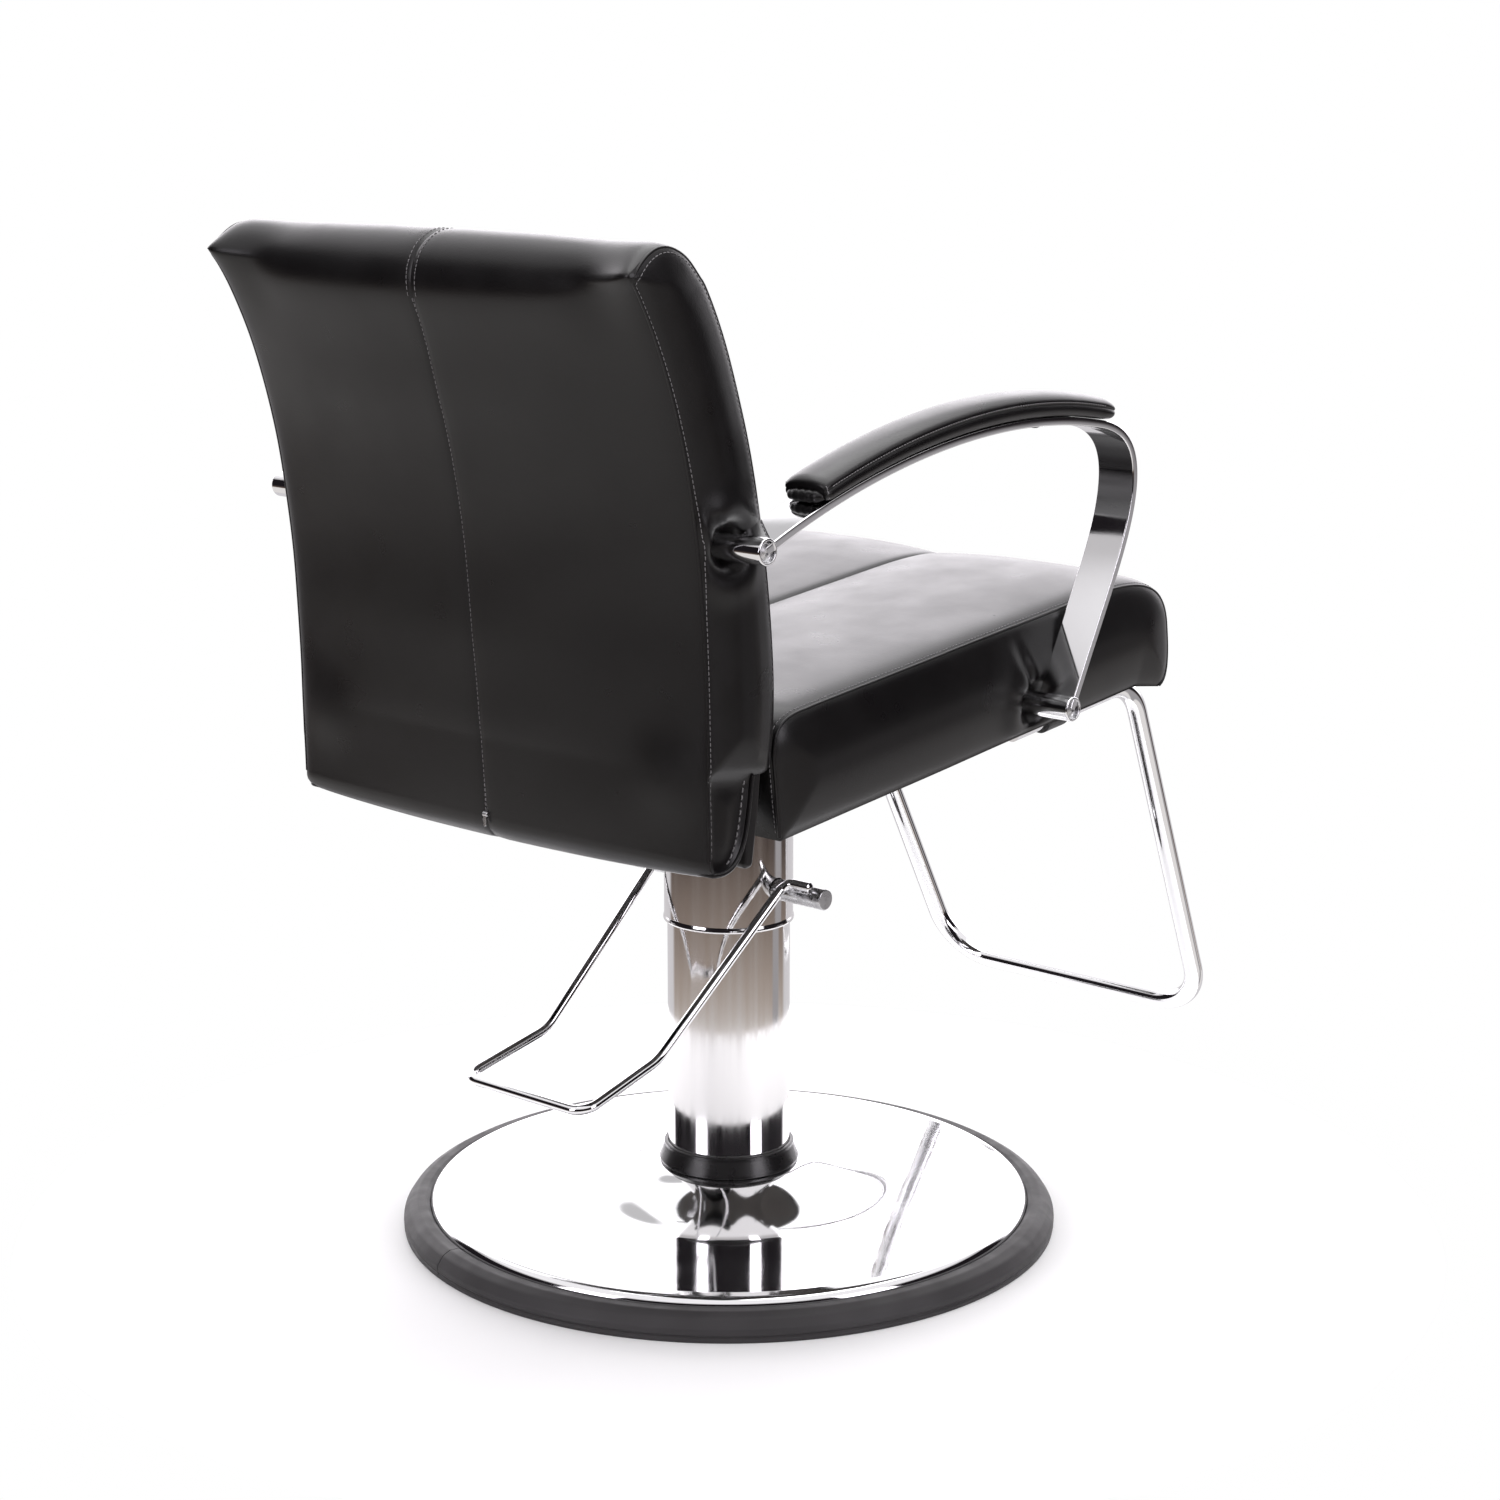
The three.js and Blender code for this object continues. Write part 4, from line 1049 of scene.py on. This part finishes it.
angles = np.linspace(0, 2 * math.pi, 160, endpoint=False)
floor_mesh = bpy.data.meshes.new("floor")
floor_rim = [(FLOOR_RADIUS * math.cos(a), FLOOR_RADIUS * math.sin(a), 0) for a in angles]
floor_mesh.from_pydata(floor_rim, [], [tuple(range(len(floor_rim)))])
floor = add_object("floor", floor_mesh)
floor_material = new_material("pale_floor", (0.9, 0.9, 0.9), 0.6)
floor_shader = shader_of(floor_material)
floor_shader.inputs["Emission Color"].default_value = (1, 1, 1, 1)
floor_shader.inputs["Emission Strength"].default_value = 0.06
floor_shader.inputs["Specular IOR Level"].default_value = 0.1
floor_mesh.materials.append(floor_material)

world = bpy.data.worlds.new("studio")
bpy.context.scene.world = world
world.use_nodes = True
tree = world.node_tree
tree.nodes.clear()


def world_range(value, low, high):
    """0 at low and 1 at high, with a soft step between them."""
    node = tree.nodes.new("ShaderNodeMapRange")
    node.interpolation_type = "SMOOTHSTEP"
    node.inputs["From Min"].default_value = low
    node.inputs["From Max"].default_value = high
    tree.links.new(value, node.inputs["Value"])
    return node.outputs["Result"]


def world_mix(factor, low, high):
    node = tree.nodes.new("ShaderNodeMix")
    node.data_type = "RGBA"
    for socket, colour in (("A", low), ("B", high)):
        if isinstance(colour, tuple):
            node.inputs[socket].default_value = (*colour, 1)
        else:
            tree.links.new(colour, node.inputs[socket])
    tree.links.new(factor, node.inputs["Factor"])
    return node.outputs["Result"]


def times(a, b):
    node = tree.nodes.new("ShaderNodeMath")
    node.operation = "MULTIPLY"
    tree.links.new(a, node.inputs[0])
    tree.links.new(b, node.inputs[1])
    return node.outputs[0]


def facing(vector, direction):
    """Cosine between a direction of the room and a fixed one."""
    node = tree.nodes.new("ShaderNodeVectorMath")
    node.operation = "DOT_PRODUCT"
    node.inputs[1].default_value = Vector(direction).normalized()
    tree.links.new(vector, node.inputs[0])
    return node.outputs["Value"]


def level(azimuth):
    return (math.cos(azimuth), math.sin(azimuth), 0)


place = tree.nodes.new("ShaderNodeTexCoord").outputs["Generated"]
split = tree.nodes.new("ShaderNodeSeparateXYZ")
tree.links.new(place, split.inputs[0])
height = split.outputs["Z"]
flatten = tree.nodes.new("ShaderNodeVectorMath")
flatten.operation = "MULTIPLY"
flatten.inputs[1].default_value = (1, 1, 0)
tree.links.new(place, flatten.inputs[0])
unit = tree.nodes.new("ShaderNodeVectorMath")
unit.operation = "NORMALIZE"
tree.links.new(flatten.outputs[0], unit.inputs[0])
compass = unit.outputs[0]

# The floor is white near the chair, beige further off and brown far away, below a dim room
# with a pale ceiling.
room = world_mix(world_range(height, -0.318, -0.298), (0.82, 0.79, 0.775), (0.4, 0.335, 0.29))
room = world_mix(world_range(height, -0.298, -0.27), room, (0.22, 0.175, 0.15))
room = world_mix(world_range(height, -0.27, -0.25), room, (0.06, 0.045, 0.04))
room = world_mix(world_range(height, -0.2, -0.08), room, (0.012, 0.01, 0.012))
room = world_mix(world_range(height, 0.4665, 0.4695), room, (0.6, 0.58, 0.59))
room = world_mix(world_range(height, 0.52, 0.6), room, (1.0, 0.98, 1.0))
# A thin grey strip lies just below the ceiling, at the sitter's left rear.
strip = times(world_range(height, 0.4600, 0.4615), world_range(height, 0.4645, 0.463))
strip = times(strip, world_range(facing(compass, (0.715, 0.699, 0)), 0.985, 0.995))
room = world_mix(strip, room, (0.4, 0.39, 0.4))
# Two tall panels stand left and right of the viewer.
for turn in (-53, 53):
    panel = world_range(facing(compass, level(TO_CAMERA + math.radians(turn))), 0.976, 0.987)
    low_edge = world_range(height, -0.02, 0.02)
    top_edge = world_range(height, 0.62, 0.5)
    room = world_mix(times(times(panel, low_edge), top_edge), room, (3.8, 3.65, 3.9))
# A small grey patch low ahead, on the sitter's right, shows in the sides of the arms.
wing = times(world_range(facing(compass, (-0.62, -0.78, 0)), 0.984, 0.995), world_range(height, -0.1, -0.15))
room = world_mix(wing, room, (0.36, 0.345, 0.355))
# The bright backdrop behind the chair.
sweep = world_mix(world_range(height, -0.1, 0.12), (0.68, 0.66, 0.68), (3.1, 3.0, 3.12))
sweep = world_mix(world_range(height, 0.46, 0.56), sweep, (1.45, 1.43, 1.46))
# A grey spot high up in it shows in the tops of the arms.
sweep = world_mix(world_range(facing(place, (0.645, -0.414, 0.64)), 0.995, 0.998), sweep, (0.6, 0.59, 0.6))
sweep = world_mix(world_range(height, 0.75, 0.9), sweep, (0.95, 0.93, 0.96))
seen = world_mix(world_range(facing(compass, level(TO_CAMERA + math.pi)), 0.5, 0.68), room, sweep)
rays = tree.nodes.new("ShaderNodeLightPath")
shown = world_mix(rays.outputs["Is Camera Ray"], seen, (1.0, 1.0, 1.0))
background = tree.nodes.new("ShaderNodeBackground")
tree.links.new(shown, background.inputs["Color"])
output = tree.nodes.new("ShaderNodeOutputWorld")
tree.links.new(background.outputs[0], output.inputs[0])

lamp = bpy.data.lights.new("top_box", "AREA")
lamp.shape = "RECTANGLE"
lamp.size = lamp.size_y = 2.2
lamp.energy = 38
top_box = add_object("top_box", lamp)
top_box.location = (0.1, -0.4, 2.7)
aim = Vector((0, 0, 0.4)) - top_box.location
top_box.rotation_euler = aim.to_track_quat("-Z", "Y").to_euler()
top_box.visible_camera = False

camera_data = bpy.data.cameras.new("camera")
camera_data.sensor_width = 36
camera_data.lens = 75.61
camera_data.clip_end = 50
camera = add_object("camera", camera_data)
camera.location = (-1.8696, 2.0887, 1.0854)
pitch = math.radians(12.8)
forward = Vector((0.6617 * math.cos(pitch), -0.7498 * math.cos(pitch), -math.sin(pitch)))
camera.rotation_euler = forward.to_track_quat("-Z", "Y").to_euler()
bpy.context.scene.camera = camera
bpy.context.scene.view_settings.view_transform = "Standard"
